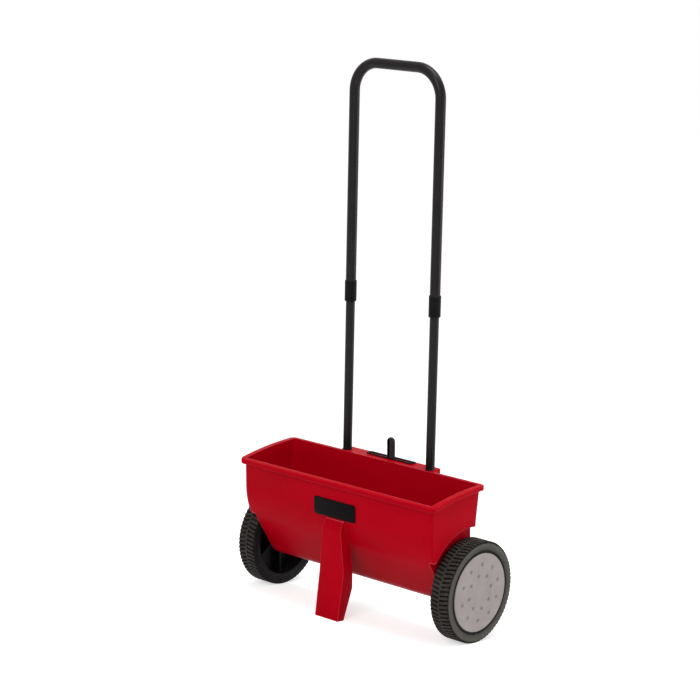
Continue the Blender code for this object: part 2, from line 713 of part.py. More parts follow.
def hooks_and_boss():
    shapes = []
    for place in HOOK_PLACES:
        for x in (-place, place):
            for side in (-1, 1):
                outline = hook_outline(side)
                shapes.append(slab(outline, x - HOOK_WIDTH / 2, x + HOOK_WIDTH / 2, ALONG_X))
    root = (0.0, BACK_KNEE - WALL, LEVER_PIVOT_HEIGHT)
    end = (0.0, LEVER_FRONT - GAP, LEVER_PIVOT_HEIGHT)
    shapes.append(cylinder(root, end, LEVER_BOSS_ROOT_RADIUS, PIN_SIDES, LEVER_BOSS_RADIUS))
    return add_cutter("hooks_and_boss", join(shapes))


def slot_boxes(shift, low, high):
    boxes = []
    for index in range(SLOT_COUNT):
        x = (index - (SLOT_COUNT - 1) / 2) * SLOT_PITCH + shift
        boxes.append(box((x - SLOT_WIDTH / 2, SLOT_FRONT, low), (x + SLOT_WIDTH / 2, SLOT_BACK, high)))
    return boxes


def hopper_openings():
    """Drop slots, bush holes, lever slot, tube bores and the blind hole of the lever's screw."""
    shapes = slot_boxes(0.0, -TROUGH_DEPTH - PAST, -TROUGH_DEPTH + WALL + PAST)
    for side in SIDES.values():
        start = (side * (LOWER_HALF_WIDTH - WALL - PAST), 0.0, 0.0)
        end = (side * (LOWER_HALF_WIDTH + PAST), 0.0, 0.0)
        shapes.append(cylinder(start, end, hole_radius(BUSH_RADIUS, PIN_SIDES), PIN_SIDES))
        x = side * HANDLE_HALF_WIDTH
        bottom = handle_point(x, SOCKET_BOTTOM + SOCKET_FLOOR)
        top = handle_point(x, RIM_BACK_HEIGHT + PAST)
        shapes.append(cylinder(bottom, top, hole_radius(LOWER_TUBE_RADIUS, TUBE_SIDES), TUBE_SIDES))
    shapes.append(box((-GUIDE_SLOT_HALF, LEVER_FRONT - LEVER_SHELF_GAP, RIM_BACK_HEIGHT - RIM_PLATE - PAST),
                      (GUIDE_SLOT_HALF, LEVER_BACK + LEVER_SHELF_GAP, RIM_BACK_HEIGHT + PAST)))
    mouth = (0.0, LEVER_FRONT + GAP, LEVER_PIVOT_HEIGHT)
    bottom = (0.0, LEVER_FRONT - PIVOT_DEPTH - GAP * 2, LEVER_PIVOT_HEIGHT)
    shapes.append(cylinder(bottom, mouth, hole_radius(PIVOT_RADIUS)))
    return add_cutter("hopper_openings", join(shapes))


def hopper_screw_holes():
    shapes = []
    for side in SIDES.values():
        x = side * HANDLE_HALF_WIDTH
        y = handle_point(x, HANDLE_BOLT_HEIGHT).y
        reach = SOCKET_HALF_WIDTH + PAST
        shapes.append(cylinder((x - reach, y, HANDLE_BOLT_HEIGHT), (x + reach, y, HANDLE_BOLT_HEIGHT),
                               hole_radius(HANDLE_BOLT_RADIUS)))
        shapes.append(stand_screw_hole(side))
        x = side * (GUIDE_HALF_LENGTH - GUIDE_SCREW_INSET)
        shapes.append(cylinder((x, LEVER_Y, RIM_BACK_HEIGHT - RIM_PLATE - PAST),
                               (x, LEVER_Y, RIM_BACK_HEIGHT + PAST), hole_radius(GUIDE_SCREW_RADIUS)))
    return add_cutter("hopper_screw_holes", join(shapes))


def build_hopper():
    outside = trough_shape("outside", 0.0)
    hopper = add_part("hopper", box((-FAR, -FAR, -FAR), (FAR, FAR, FAR)), RED)
    combine(hopper, outside, "INTERSECT")
    combine(hopper, add_cutter("sky", rim_band(RIM_PLATE / 2, FAR)))
    combine(hopper, rim_tray(), "UNION")
    combine(hopper, shelf_tray(), "UNION")
    combine(hopper, sockets(), "UNION")
    combine(hopper, hooks_and_boss(), "UNION")
    combine(hopper, trough_shape("inside", WALL))
    combine(hopper, hopper_openings())
    combine(hopper, hopper_screw_holes())
    return hopper


# Stand under the front of the hopper.

def stand_corners():
    """Outer corners of the stand in the plane (y, z), counterclockwise. Its sole lies on the ground."""
    heel = -STAND_TOE_REACH + STAND_FOOT_DEPTH
    heel_height = (-WHEEL_RADIUS - heel * sin(PARK_TILT)) / cos(PARK_TILT)
    return [(-STAND_TOE_REACH, -STAND_TOE_DROP, 0.0),
            (heel, heel_height, 0.0),
            (-STAND_BACK, -STAND_KNEE_DROP, STAND_KNEE_RADIUS),
            (-STAND_BACK, STAND_TOP, 0.0),
            (-HOPPER_FRONT, STAND_TOP, 0.0),
            (-STAND_FRONT, STAND_TOP - STAND_SHOULDER_LENGTH, STAND_SHOULDER_RADIUS),
            (-STAND_FRONT, STAND_BEND, STAND_BEND_RADIUS)]


def stand_face_corners():
    """Outer corners of the stand in the plane (x, z): narrow at the top, widest at its bend."""
    right = [(STAND_FOOT_HALF_WIDTH, -WHEEL_RADIUS, 0.0), (STAND_HALF_WIDTH, STAND_BEND, 0.0),
             (STAND_TOP_HALF_WIDTH, STAND_TOP, 0.0)]
    left = [(-x, z, radius) for x, z, radius in reversed(right)]
    return right + left


def stand_face_slab(distance):
    return slab(rounded(inset(stand_face_corners(), distance)), -FAR, 0.0, ALONG_Y)


def stand_hollow():
    """Inside of the stand: open at the back below the hopper, with a wall where it lies on the hopper."""
    corners = inset(stand_corners(), STAND_WALL)
    toe, heel, _, top = corners[:4]
    behind = -STAND_BACK + STAND_FOOT_DEPTH
    rise = STAND_SOLE - STAND_WALL
    slope = (heel[1] - toe[1]) / (heel[0] - toe[0])
    outline = [(toe[0], toe[1] + rise, 0.0), (behind, toe[1] + rise + (behind - toe[0]) * slope, 0.0),
               (behind, top[1], 0.0)] + corners[4:]
    reach = STAND_HALF_WIDTH + PAST
    hollow = add_cutter("stand_hollow", slab(rounded(outline), -reach, reach, ALONG_X))
    combine(hollow, add_cutter("stand_hollow_face", stand_face_slab(STAND_WALL)), "INTERSECT")
    backing = add_cutter("stand_backing", section_slab(-GAP - STAND_WALL, reach + PAST))
    return combine(hollow, backing)


def stand_screw_axis():
    """Points outward, square to the front curve."""
    return Vector((0.0, -cos(STAND_SCREW_ANGLE), -sin(STAND_SCREW_ANGLE)))


def stand_screw_point(side, reach):
    """A point on a stand screw's axis, at a distance from the front curve's centre."""
    point = FRONT_CURVE_CENTRE + stand_screw_axis() * reach
    return Vector((side * STAND_SCREW_X, point.y, point.z))


def stand_screw_hole(side):
    start = stand_screw_point(side, FRONT_CURVE_RADIUS - WALL - PAST)
    end = stand_screw_point(side, FRONT_CURVE_RADIUS + GAP + STAND_WALL + PAST)
    return cylinder(start, end, hole_radius(STAND_SCREW_RADIUS))


def build_stand():
    reach = STAND_HALF_WIDTH + PAST
    stand = add_part("parking_stand", slab(rounded(stand_corners()), -reach, reach, ALONG_X), RED)
    combine(stand, add_cutter("stand_face", stand_face_slab(0.0)), "INTERSECT")
    bevel(stand, STAND_EDGE_RADIUS, 2, radians(60))
    combine(stand, add_cutter("stand_clearance", section_slab(-GAP, reach)))
    combine(stand, stand_hollow())
    holes = join([stand_screw_hole(side) for side in SIDES.values()])
    combine(stand, add_cutter("stand_screw_holes", holes))


def build_stand_screws():
    half_step = FRONT_SLOPE / arc_steps(FRONT_CURVE_RADIUS - WALL, FRONT_SLOPE) / 2
    inner = (FRONT_CURVE_RADIUS - WALL) * cos(half_step) - GAP
    nut_seat = FRONT_CURVE_RADIUS + GAP + STAND_WALL + GAP
    for name, side in SIDES.items():
        seat = stand_screw_point(side, inner)
        fastener("stand_screw_" + name, seat, -stand_screw_axis(), STAND_SCREW_RADIUS, STAND_SCREW_LENGTH,
                 STAND_SCREW_HEAD_RADIUS, STAND_SCREW_HEAD_HEIGHT)
        seat = stand_screw_point(side, nut_seat)
        ring("stand_nut_" + name, seat, stand_screw_axis(), STAND_NUT_RADIUS,
             hole_radius(STAND_SCREW_RADIUS, NUT_SIDES), STAND_NUT_HEIGHT, sides=NUT_SIDES)


def build_plate():
    """Bare plate that follows the front face."""
    outline = rectangle(-PLATE_HALF_LENGTH, PLATE_HALF_LENGTH, PLATE_HEIGHT - PLATE_HALF_HEIGHT,
                        PLATE_HEIGHT + PLATE_HALF_HEIGHT, PLATE_CORNER_RADIUS)
    mesh = slab(rounded(outline), -HOPPER_FRONT - PLATE_THICKNESS - PAST, 0.0, ALONG_Y)
    plate = add_part("name_plate", mesh, BLACK)
    reach = PLATE_HALF_LENGTH + PAST
    combine(plate, add_cutter("plate_face", section_slab(-GAP - PLATE_THICKNESS, reach)), "INTERSECT")
    combine(plate, add_cutter("plate_back", section_slab(-GAP, reach + PAST)))


# Metering slide and dosing lever.

def build_slide():
    half = SLOT_PITCH * (SLOT_COUNT - 1) / 2 + SLOT_WIDTH / 2 + SLIDE_END_MARGIN
    strip = rectangle(-half, half, SLIDE_FRONT, SLIDE_BACK)
    back = LEVER_BACK + SLIDE_TAB_MARGIN
    side = SLIDE_TAB_HALF_WIDTH
    corner = SLIDE_TAB_CORNER_RADIUS
    tab = [(side, SLIDE_BACK, 0.0), (side, back, corner), (-side, back, corner), (-side, SLIDE_BACK, 0.0)]
    outline = rounded(strip[:3] + tab + strip[3:])
    slide = add_part("metering_slide", slab(outline, SLIDE_BOTTOM, SLIDE_TOP, ALONG_Z), BLACK)
    shapes = slot_boxes(SLIDE_TRAVEL, SLIDE_BOTTOM - PAST, SLIDE_TOP + PAST)
    reach = LEVER_TIP_WIDTH / 2 / cos(LEVER_SWING) + SLIDE_THICKNESS / 2 * tan(LEVER_SWING) + RUNNING_GAP
    shapes.append(box((-reach, LEVER_FRONT - RUNNING_GAP, SLIDE_BOTTOM - PAST),
                      (reach, LEVER_BACK + RUNNING_GAP, SLIDE_TOP + PAST)))
    combine(slide, add_cutter("slide_slots", join(shapes)))


def lever_outline():
    wide = LEVER_WIDTH / 2
    waist = LEVER_WAIST / 2
    tip = LEVER_TIP_WIDTH / 2
    low = SLIDE_BOTTOM - LEVER_TIP_REACH
    neck = LEVER_PIVOT_HEIGHT - LEVER_HUB_RADIUS
    right = [(tip, low, LEVER_TIP_RADIUS), (tip, neck, 0.0), (waist, LEVER_PIVOT_HEIGHT, 0.0),
             (waist, LEVER_WIDE_FROM, LEVER_WAIST_RADIUS),
             (wide, LEVER_WIDE_FROM + LEVER_WIDTH, LEVER_WAIST_RADIUS),
             (wide, LEVER_TOP, wide - LEVER_END_FLAT)]
    left = [(-x, z, radius) for x, z, radius in reversed(right)]
    return right + left


def build_lever():
    pivot = (0.0, LEVER_Y, LEVER_PIVOT_HEIGHT)
    mesh = slab(rounded(lever_outline()), LEVER_FRONT, LEVER_BACK, ALONG_Y)
    lever = add_part("dosing_lever", mesh, BLACK, pivot)
    front = (0.0, LEVER_FRONT, LEVER_PIVOT_HEIGHT)
    back = (0.0, LEVER_BACK, LEVER_PIVOT_HEIGHT)
    combine(lever, add_cutter("lever_hub", cylinder(front, back, LEVER_HUB_RADIUS, PIN_SIDES)), "UNION")
    start = (0.0, LEVER_FRONT - PAST, LEVER_PIVOT_HEIGHT)
    end = (0.0, LEVER_BACK + PAST, LEVER_PIVOT_HEIGHT)
    combine(lever, add_cutter("lever_bore", cylinder(start, end, hole_radius(PIVOT_RADIUS))))


def build_lever_pivot():
    backward = (0.0, 1.0, 0.0)
    seat = (0.0, LEVER_BACK + GAP, LEVER_PIVOT_HEIGHT)
    ring("lever_washer", seat, backward, PIVOT_WASHER_RADIUS, hole_radius(PIVOT_RADIUS, PIN_SIDES),
         PIVOT_WASHER_THICKNESS, sides=PIN_SIDES)
    seat = (0.0, LEVER_BACK + PIVOT_WASHER_THICKNESS + GAP * 2, LEVER_PIVOT_HEIGHT)
    length = LEVER_THICKNESS + PIVOT_WASHER_THICKNESS + PIVOT_DEPTH
    fastener("lever_pivot_screw", seat, backward, PIVOT_RADIUS, length, PIVOT_HEAD_RADIUS, PIVOT_HEAD_HEIGHT)


def build_guide():
    plan = rectangle(-GUIDE_HALF_LENGTH, GUIDE_HALF_LENGTH, LEVER_Y - GUIDE_HALF_WIDTH,
                     LEVER_Y + GUIDE_HALF_WIDTH, GUIDE_CORNER_RADIUS)
    guide = add_part("lever_guide", slab(rounded(plan), GUIDE_BOTTOM, GUIDE_TOP, ALONG_Z), BLACK)
    low = GUIDE_BOTTOM - PAST
    high = GUIDE_TOP + PAST
    shapes = [box((-GUIDE_SLOT_HALF, LEVER_FRONT - LEVER_GUIDE_GAP, low),
                  (GUIDE_SLOT_HALF, LEVER_BACK + LEVER_GUIDE_GAP, high))]
    for name, side in SIDES.items():
        x = side * (GUIDE_HALF_LENGTH - GUIDE_SCREW_INSET)
        shapes.append(cylinder((x, LEVER_Y, low), (x, LEVER_Y, high), hole_radius(GUIDE_SCREW_RADIUS)))
        fastener("guide_screw_" + name, (x, LEVER_Y, GUIDE_TOP + GAP), (0.0, 0.0, 1.0), GUIDE_SCREW_RADIUS,
                 GUIDE_SCREW_LENGTH, GUIDE_SCREW_HEAD_RADIUS, GUIDE_SCREW_HEAD_HEIGHT)
    combine(guide, add_cutter("guide_slot", join(shapes)))


# Axle, bushes and agitator.

def build_axle():
    axle = add_part("axle", cylinder((-AXLE_END, 0.0, 0.0), (AXLE_END, 0.0, 0.0), AXLE_RADIUS, PIN_SIDES), ZINC)
    shapes = []
    for x, radius, _ in axle_pins().values():
        shapes.append(cylinder((x, 0.0, -AXLE_RADIUS * 2), (x, 0.0, AXLE_RADIUS * 2), hole_radius(radius)))
    combine(axle, add_cutter("axle_pin_holes", join(shapes)))


def axle_pins():
    """Cross pins of the axle: where each sits along X, its radius and its length."""
    drive_x = TRACK_HALF - HUB_RECESS_DEPTH - DRIVE_PIN_RADIUS - GAP
    split_depth = HUB_RECESS_DEPTH - AXLE_WASHER_THICKNESS - SPLIT_PIN_RADIUS - GAP * 2
    return {"drive_pin": (drive_x, DRIVE_PIN_RADIUS, DRIVE_PIN_LENGTH),
            "split_pin": (split_depth - TRACK_HALF, SPLIT_PIN_RADIUS, SPLIT_PIN_LENGTH),
            "agitator_pin": (SLOT_PITCH / 2, DRIVE_PIN_RADIUS, 2 * (AGITATOR_RADIUS + AGITATOR_PIN_PROUD))}


def build_pins():
    for name, (x, radius, length) in axle_pins().items():
        mesh = cylinder((x, 0.0, -length / 2), (x, 0.0, length / 2), radius)
        add_part(name, mesh, ZINC)


def build_bushes():
    seat = LOWER_HALF_WIDTH + GAP
    flange = BUSH_RADIUS + BUSH_FLANGE
    profile = [(flange, BUSH_FLANGE_THICKNESS), (flange, 0.0), (BUSH_RADIUS, 0.0), (BUSH_RADIUS, -BUSH_REACH),
               (AXLE_BORE_RADIUS, -BUSH_REACH), (AXLE_BORE_RADIUS, BUSH_FLANGE_THICKNESS)]
    for name, side in SIDES.items():
        turned("axle_bush_" + name, profile, PIN_SIDES, NATURAL, (side * seat, 0.0, 0.0), (side, 0.0, 0.0))


def build_agitator():
    """A sleeve fixed on the axle, with a stirring bar over each drop slot, each turned on from the last.

    At rest none of the bars points at its slot.
    """
    half = LOWER_HALF_WIDTH + GAP - BUSH_REACH - RUNNING_GAP
    agitator = add_part("agitator", cylinder((-half, 0.0, 0.0), (half, 0.0, 0.0), AGITATOR_RADIUS), BLACK)
    bars = []
    for index in range(SLOT_COUNT):
        x = (index - (SLOT_COUNT - 1) / 2) * SLOT_PITCH
        size = Vector((AGITATOR_BAR_WIDTH, AGITATOR_BAR_DEPTH, AGITATOR_REACH * 2)) / 2
        bar = box(-size, size)
        turn = Matrix.Rotation(AGITATOR_START + index * AGITATOR_TWIST, 4, "X")
        bar.transform(Matrix.Translation((x, 0.0, 0.0)) @ turn)
        bars.append(bar)
    combine(agitator, add_cutter("agitator_bars", join(bars)), "UNION")
    bore = cylinder((-FAR, 0.0, 0.0), (FAR, 0.0, 0.0), hole_radius(AXLE_RADIUS, PIN_SIDES), PIN_SIDES)
    combine(agitator, add_cutter("agitator_bore", bore))
    x, radius, _ = axle_pins()["agitator_pin"]
    hole = cylinder((x, 0.0, -AGITATOR_REACH), (x, 0.0, AGITATOR_REACH), hole_radius(radius))
    combine(agitator, add_cutter("agitator_pin_hole", hole))


# Wheels. A wheel's own frame has its origin on its outer face and its axis pointing outward.

def wheel_centre(side):
    return (side * TRACK_HALF, 0.0, 0.0)


def tyre_profile():
    outer = WHEEL_RADIUS
    soft = TYRE_SHOULDER
    cut = soft * TYRE_SHOULDER_SHARE
    inner = TYRE_INNER_RADIUS
    cavity = WHEEL_RADIUS - TYRE_TREAD_THICKNESS
    near = [(inner, 0.0), (outer - soft, 0.0), (outer - cut, -cut), (outer, -soft)]
    far = [(radius, -WHEEL_WIDTH - height) for radius, height in reversed(near)]
    hollow = [(inner, TYRE_WALL - WHEEL_WIDTH), (cavity, TYRE_WALL - WHEEL_WIDTH), (cavity, -TYRE_WALL),
              (inner, -TYRE_WALL)]
    return near + far + hollow


def tread_grooves():
    """Cross grooves in two rows, half a pitch apart, each open at its shoulder."""
    grooves = []
    size = Vector((TREAD_DEPTH * 2, TREAD_GROOVE_WIDTH, TREAD_GROOVE_LENGTH))
    for row, skew in ((0, TREAD_SKEW), (1, -TREAD_SKEW)):
        middle = TREAD_GROOVE_LENGTH / 2 - TREAD_OVERRUN
        height = -middle if row == 0 else middle - WHEEL_WIDTH
        for index in range(TREAD_PITCHES):
            groove = box(-size / 2, size / 2)
            groove.transform(Matrix.Rotation(skew, 4, "X"))
            groove.transform(Matrix.Translation((WHEEL_RADIUS, 0.0, height)))
            groove.transform(Matrix.Rotation((index + 1 / 2 + row / 2) * 2 * pi / TREAD_PITCHES, 4, "Z"))
            grooves.append(groove)
    return join(grooves)


def build_tyres():
    grooves = tread_grooves()
    for name, side in SIDES.items():
        tyre = turned("tyre_" + name, tyre_profile(), TYRE_SIDES, RUBBER, wheel_centre(side), (side, 0.0, 0.0))
        combine(tyre, match(add_cutter("tread_grooves_" + name, grooves), tyre))


def rim_profile():
    """Barrel, web and hub in one section."""
    rim = WHEEL_RIM_RADIUS
    barrel = rim - WHEEL_RIM_WALL
    lip = TYRE_SHOULDER / 2
    end = lip - WHEEL_WIDTH
    web = -WHEEL_WEB_DEPTH
    web_back = web - WHEEL_WEB_THICKNESS
    return [(rim, -lip), (rim, end), (barrel, end), (barrel, web_back), (HUB_RADIUS, web_back),
            (HUB_RADIUS, -WHEEL_WIDTH), (AXLE_BORE_RADIUS, -WHEEL_WIDTH),
            (AXLE_BORE_RADIUS, -HUB_RECESS_DEPTH), (HUB_RECESS_RADIUS, -HUB_RECESS_DEPTH),
            (HUB_RECESS_RADIUS, web), (CAP_RADIUS + GAP * 2, web), (CAP_RADIUS + GAP * 2, -lip)]


def around(count, phase, make):
    """One mesh of the copies that make(angle) gives around the wheel's axis."""
    return join([make(phase + index * 2 * pi / count) for index in range(count)])


def rim_rib(angle):
    start = (HUB_RADIUS + HUB_RECESS_RADIUS) / 2
    end = WHEEL_RIM_RADIUS - WHEEL_RIM_WALL / 2
    high = -WHEEL_WEB_DEPTH - WHEEL_WEB_THICKNESS / 2
    rib = box((start, -WHEEL_RIB_THICKNESS / 2, -WHEEL_WEB_DEPTH - WHEEL_WEB_THICKNESS - WHEEL_RIB_DEPTH),
              (end, WHEEL_RIB_THICKNESS / 2, high))
    rib.transform(Matrix.Rotation(angle, 4, "Z"))
    return rib


def build_rims():
    ribs = around(WHEEL_RIBS, pi / WHEEL_RIBS, rim_rib)
    slot_half = DRIVE_PIN_RADIUS + GAP
    reach = DRIVE_PIN_LENGTH / 2 + GAP
    slot = box((-slot_half, -reach, -HUB_RECESS_DEPTH - DRIVE_PIN_RADIUS * 2 - GAP * 2), (slot_half, reach, 0.0))
    for name, side in SIDES.items():
        rim = turned("wheel_rim_" + name, rim_profile(), ROUND_SIDES, BLACK, wheel_centre(side), (side, 0.0, 0.0))
        combine(rim, match(add_cutter("rim_ribs_" + name, ribs), rim), "UNION")
        combine(rim, match(add_cutter("rim_pin_slot_" + name, slot), rim))


def cap_profile():
    radius = CAP_RADIUS
    edge = CAP_EDGE
    spigot = CAP_SPIGOT_RADIUS
    inner = spigot - CAP_SPIGOT_WALL
    end = -CAP_THICKNESS - CAP_SPIGOT_LENGTH
    return [(0.0, 0.0), (radius - edge, 0.0), (radius, -edge), (radius, -CAP_THICKNESS),
            (spigot, -CAP_THICKNESS), (spigot, end), (inner, end), (inner, -CAP_THICKNESS),
            (0.0, -CAP_THICKNESS)]


def dent(circle):
    """Makes cone cutters whose half height lies in the cap's face, where they are as wide as a dent."""
    narrow = DENT_RADIUS * DENT_BOTTOM_SHARE
    wide = DENT_RADIUS * 2 - narrow

    def make(angle):
        x = circle * cos(angle)
        y = circle * sin(angle)
        return cylinder((x, y, -DENT_DEPTH), (x, y, DENT_DEPTH), narrow, DENT_SIDES, wide)
    return make


def build_caps():
    dents = join([around(OUTER_DENTS, OUTER_DENT_PHASE, dent(OUTER_DENT_CIRCLE)),
                  around(INNER_DENTS, INNER_DENT_PHASE, dent(INNER_DENT_CIRCLE))])
    for name, side in SIDES.items():
        cap = turned("hub_cap_" + name, cap_profile(), ROUND_SIDES, GREY, wheel_centre(side), (side, 0.0, 0.0),
                     closed=False)
        combine(cap, match(add_cutter("cap_dents_" + name, dents), cap))


def build_axle_washer():
    seat = (-TRACK_HALF + HUB_RECESS_DEPTH - GAP, 0.0, 0.0)
    ring("axle_washer", seat, (-1.0, 0.0, 0.0), AXLE_WASHER_RADIUS, AXLE_BORE_RADIUS, AXLE_WASHER_THICKNESS,
         sides=PIN_SIDES)


# Handle.

def tube_part(name, points, radius, wall):
    obj = add_part(name, tube(points, radius, TUBE_SIDES), BLACK_PAINT)
    modifier = obj.modifiers.new("wall", "SOLIDIFY")
    modifier.thickness = wall
    modifier.offset = -1.0
    modifier.use_even_offset = True
    return obj


def upper_route():
    """Up one side, round the two top bends and down the other."""
    low = UPPER_TUBE_BOTTOM
    bend = HANDLE_BEND_RADIUS
    right = (HANDLE_HALF_WIDTH - bend, HANDLE_TOP - bend)
    left = (-right[0], right[1])
    flat = [(HANDLE_HALF_WIDTH, low)]
    flat += arc_points(right, bend, 0.0, pi / 2, HANDLE_BEND_STEPS)
    flat += arc_points(left, bend, pi / 2, pi, HANDLE_BEND_STEPS)
    flat += [(-HANDLE_HALF_WIDTH, low)]
    return [handle_point(x, height) for x, height in flat]


def handle_bolt_hole(side):
    x = side * HANDLE_HALF_WIDTH
    y = handle_point(x, HANDLE_BOLT_HEIGHT).y
    reach = LOWER_TUBE_RADIUS + PAST
    return cylinder((x - reach, y, HANDLE_BOLT_HEIGHT), (x + reach, y, HANDLE_BOLT_HEIGHT),
                    hole_radius(HANDLE_BOLT_RADIUS))


def joint_screw_hole(side):
    middle = handle_point(side * HANDLE_HALF_WIDTH, JOINT_SCREW_HEIGHT)
    out = middle + Vector((0.0, SLEEVE_RADIUS + PAST, 0.0))
    return cylinder(middle, out, hole_radius(JOINT_SCREW_RADIUS))


def build_handle():
    upper = tube_part("upper_handle", upper_route(), UPPER_TUBE_RADIUS, UPPER_TUBE_WALL)
    holes = join([joint_screw_hole(side) for side in SIDES.values()])
    combine(upper, add_cutter("joint_screw_holes", holes))
    for name, side in SIDES.items():
        x = side * HANDLE_HALF_WIDTH
        low = SOCKET_BOTTOM + SOCKET_FLOOR + GAP
        points = [handle_point(x, low), handle_point(x, LOWER_TUBE_TOP)]
        lower = tube_part("lower_tube_" + name, points, LOWER_TUBE_RADIUS, LOWER_TUBE_WALL)
        holes = join([handle_bolt_hole(side), joint_screw_hole(side)])
        combine(lower, add_cutter("lower_tube_holes_" + name, holes))


def build_sleeves():
    """Plastic sleeves with a stepped bore that clamp the two tube sizes together."""
    lean = Vector((0.0, HANDLE_LEAN, 1.0)).normalized()
    stretch = sqrt(1 + HANDLE_LEAN ** 2)
    half = SLEEVE_HALF_LENGTH * stretch
    step = -UPPER_TUBE_REACH * stretch - GAP
    narrow = hole_radius(LOWER_TUBE_RADIUS, TUBE_SIDES)
    wide = hole_radius(UPPER_TUBE_RADIUS, TUBE_SIDES)
    profile = [(SLEEVE_RADIUS, half), (SLEEVE_RADIUS, -half), (narrow, -half), (narrow, step), (wide, step),
               (wide, half)]
    for name, side in SIDES.items():
        x = side * HANDLE_HALF_WIDTH
        centre = handle_point(x, JOINT_HEIGHT)
        sleeve = turned("joint_sleeve_" + name, profile, TUBE_SIDES, BLACK, centre, lean)
        combine(sleeve, add_cutter("sleeve_hole_" + name, joint_screw_hole(side)))
        seat = handle_point(x, JOINT_SCREW_HEIGHT) + Vector((0.0, SLEEVE_RADIUS + GAP, 0.0))
        fastener("joint_screw_" + name, seat, (0.0, 1.0, 0.0), JOINT_SCREW_RADIUS, JOINT_SCREW_DEPTH,
                 JOINT_SCREW_HEAD_RADIUS, JOINT_SCREW_HEAD_HEIGHT)


def build_handle_bolts():
    for name, side in SIDES.items():
        x = side * HANDLE_HALF_WIDTH
        y = handle_point(x, HANDLE_BOLT_HEIGHT).y
        reach = SOCKET_HALF_WIDTH + GAP
        seat = (x + side * reach, y, HANDLE_BOLT_HEIGHT)
        length = 2 * reach + HANDLE_NUT_HEIGHT + GAP * 2
        fastener("handle_bolt_" + name, seat, (side, 0.0, 0.0), HANDLE_BOLT_RADIUS, length,
                 HANDLE_BOLT_HEAD_RADIUS, HANDLE_BOLT_HEAD_HEIGHT)
        seat = (x - side * reach, y, HANDLE_BOLT_HEIGHT)
        ring("handle_nut_" + name, seat, (-side, 0.0, 0.0), HANDLE_NUT_RADIUS,
             hole_radius(HANDLE_BOLT_RADIUS, NUT_SIDES), HANDLE_NUT_HEIGHT, sides=NUT_SIDES)


build_hopper()
build_stand()
build_stand_screws()
build_plate()
build_slide()
build_lever()
build_lever_pivot()
build_guide()
build_axle()
build_pins()
build_bushes()
build_agitator()
build_tyres()
build_rims()
build_caps()
build_axle_washer()
build_handle()
build_sleeves()
build_handle_bolts()
print("parked tilt", round(degrees(PARK_TILT), 2), "degrees")
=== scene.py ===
"""Looks of the drop spreader: finer surfaces, materials, the floor, the light and the camera.

The machine is drawn upright about its axle, as the CAD is. X points to its right, Y to the handle's side and
Z up. MACHINE then tips it forward onto its parking stand.
"""
import json
from math import acos, atan2, ceil, cos, hypot, pi, radians, sin, sqrt, tan

import bmesh
import bpy
from mathutils import Matrix, Vector

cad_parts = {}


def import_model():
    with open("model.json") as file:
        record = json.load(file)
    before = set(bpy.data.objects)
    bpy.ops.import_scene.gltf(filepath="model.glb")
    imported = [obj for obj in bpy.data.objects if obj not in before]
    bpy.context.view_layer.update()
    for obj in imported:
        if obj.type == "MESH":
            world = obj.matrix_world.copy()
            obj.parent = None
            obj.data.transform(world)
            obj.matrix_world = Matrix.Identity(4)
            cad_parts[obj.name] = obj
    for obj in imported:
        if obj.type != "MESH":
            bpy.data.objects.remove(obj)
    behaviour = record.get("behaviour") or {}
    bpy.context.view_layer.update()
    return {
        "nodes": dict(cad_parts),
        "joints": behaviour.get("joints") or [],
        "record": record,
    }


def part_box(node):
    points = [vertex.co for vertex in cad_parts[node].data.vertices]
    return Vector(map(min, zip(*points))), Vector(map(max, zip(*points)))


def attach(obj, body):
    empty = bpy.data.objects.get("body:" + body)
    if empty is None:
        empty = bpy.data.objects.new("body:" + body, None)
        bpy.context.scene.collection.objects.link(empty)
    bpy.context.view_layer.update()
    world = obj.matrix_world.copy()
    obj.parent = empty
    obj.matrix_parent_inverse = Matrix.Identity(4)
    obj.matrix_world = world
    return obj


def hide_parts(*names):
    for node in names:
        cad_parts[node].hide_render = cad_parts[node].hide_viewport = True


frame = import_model()

# Sizes read from the frame.
TYRE_LOW, TYRE_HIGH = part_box("tyre_right")
WHEEL_RADIUS = (TYRE_HIGH.z - TYRE_LOW.z) / 2
TRACK_HALF = TYRE_HIGH.x
WHEEL_WIDTH = TYRE_HIGH.x - TYRE_LOW.x
AXLE = (TYRE_LOW + TYRE_HIGH) / 2
LEVER_JOINT = next(joint for joint in frame["joints"] if joint["name"] == "lever_swing")
PARK_TILT = atan2(LEVER_JOINT["axis"][2], LEVER_JOINT["axis"][1])
MACHINE = Matrix.Translation((0.0, AXLE.y, AXLE.z)) @ Matrix.Rotation(PARK_TILT, 4, "X")
SIDES = {"left": -1, "right": 1}
GAP = 0.0003

# Hopper, as in the CAD. Only CORNER_RADIUS and RIM_CORNER_RADIUS are smaller, as in the photograph.
WALL = 0.0025
HOPPER_HALF_WIDTH = 0.241
HOPPER_FRONT = 0.110
FRONT_SLOPE = radians(31)
SLOPE_DISTANCE = 0.0456
TROUGH_DEPTH = 0.0275
BACK_FOOT = 0.029
BACK_KNEE = 0.0275
BACK_KNEE_HEIGHT = 0.128
BACK_TOP = 0.0365
BACK_TOP_HEIGHT = 0.187
FRONT_CURVE_RADIUS = 0.144
TROUGH_FRONT_RADIUS = 0.045
TROUGH_BACK_RADIUS = 0.022
BACK_KNEE_RADIUS = 0.060
CORNER_RADIUS = 0.006
ARCH_RADIUS = 0.122
LOWER_HALF_WIDTH = 0.225
LOWER_CORNER_RADIUS = 0.016
RIM_HALF_WIDTH = 0.2495
RIM_FRONT = 0.117
RIM_BACK = 0.0435
RIM_FRONT_HEIGHT = 0.190
RIM_BACK_HEIGHT = 0.200
RIM_CROWN = 0.004
RIM_CORNER_RADIUS = 0.011
RIM_PLATE = 0.003
RIM_LIP_WALL = 0.0025
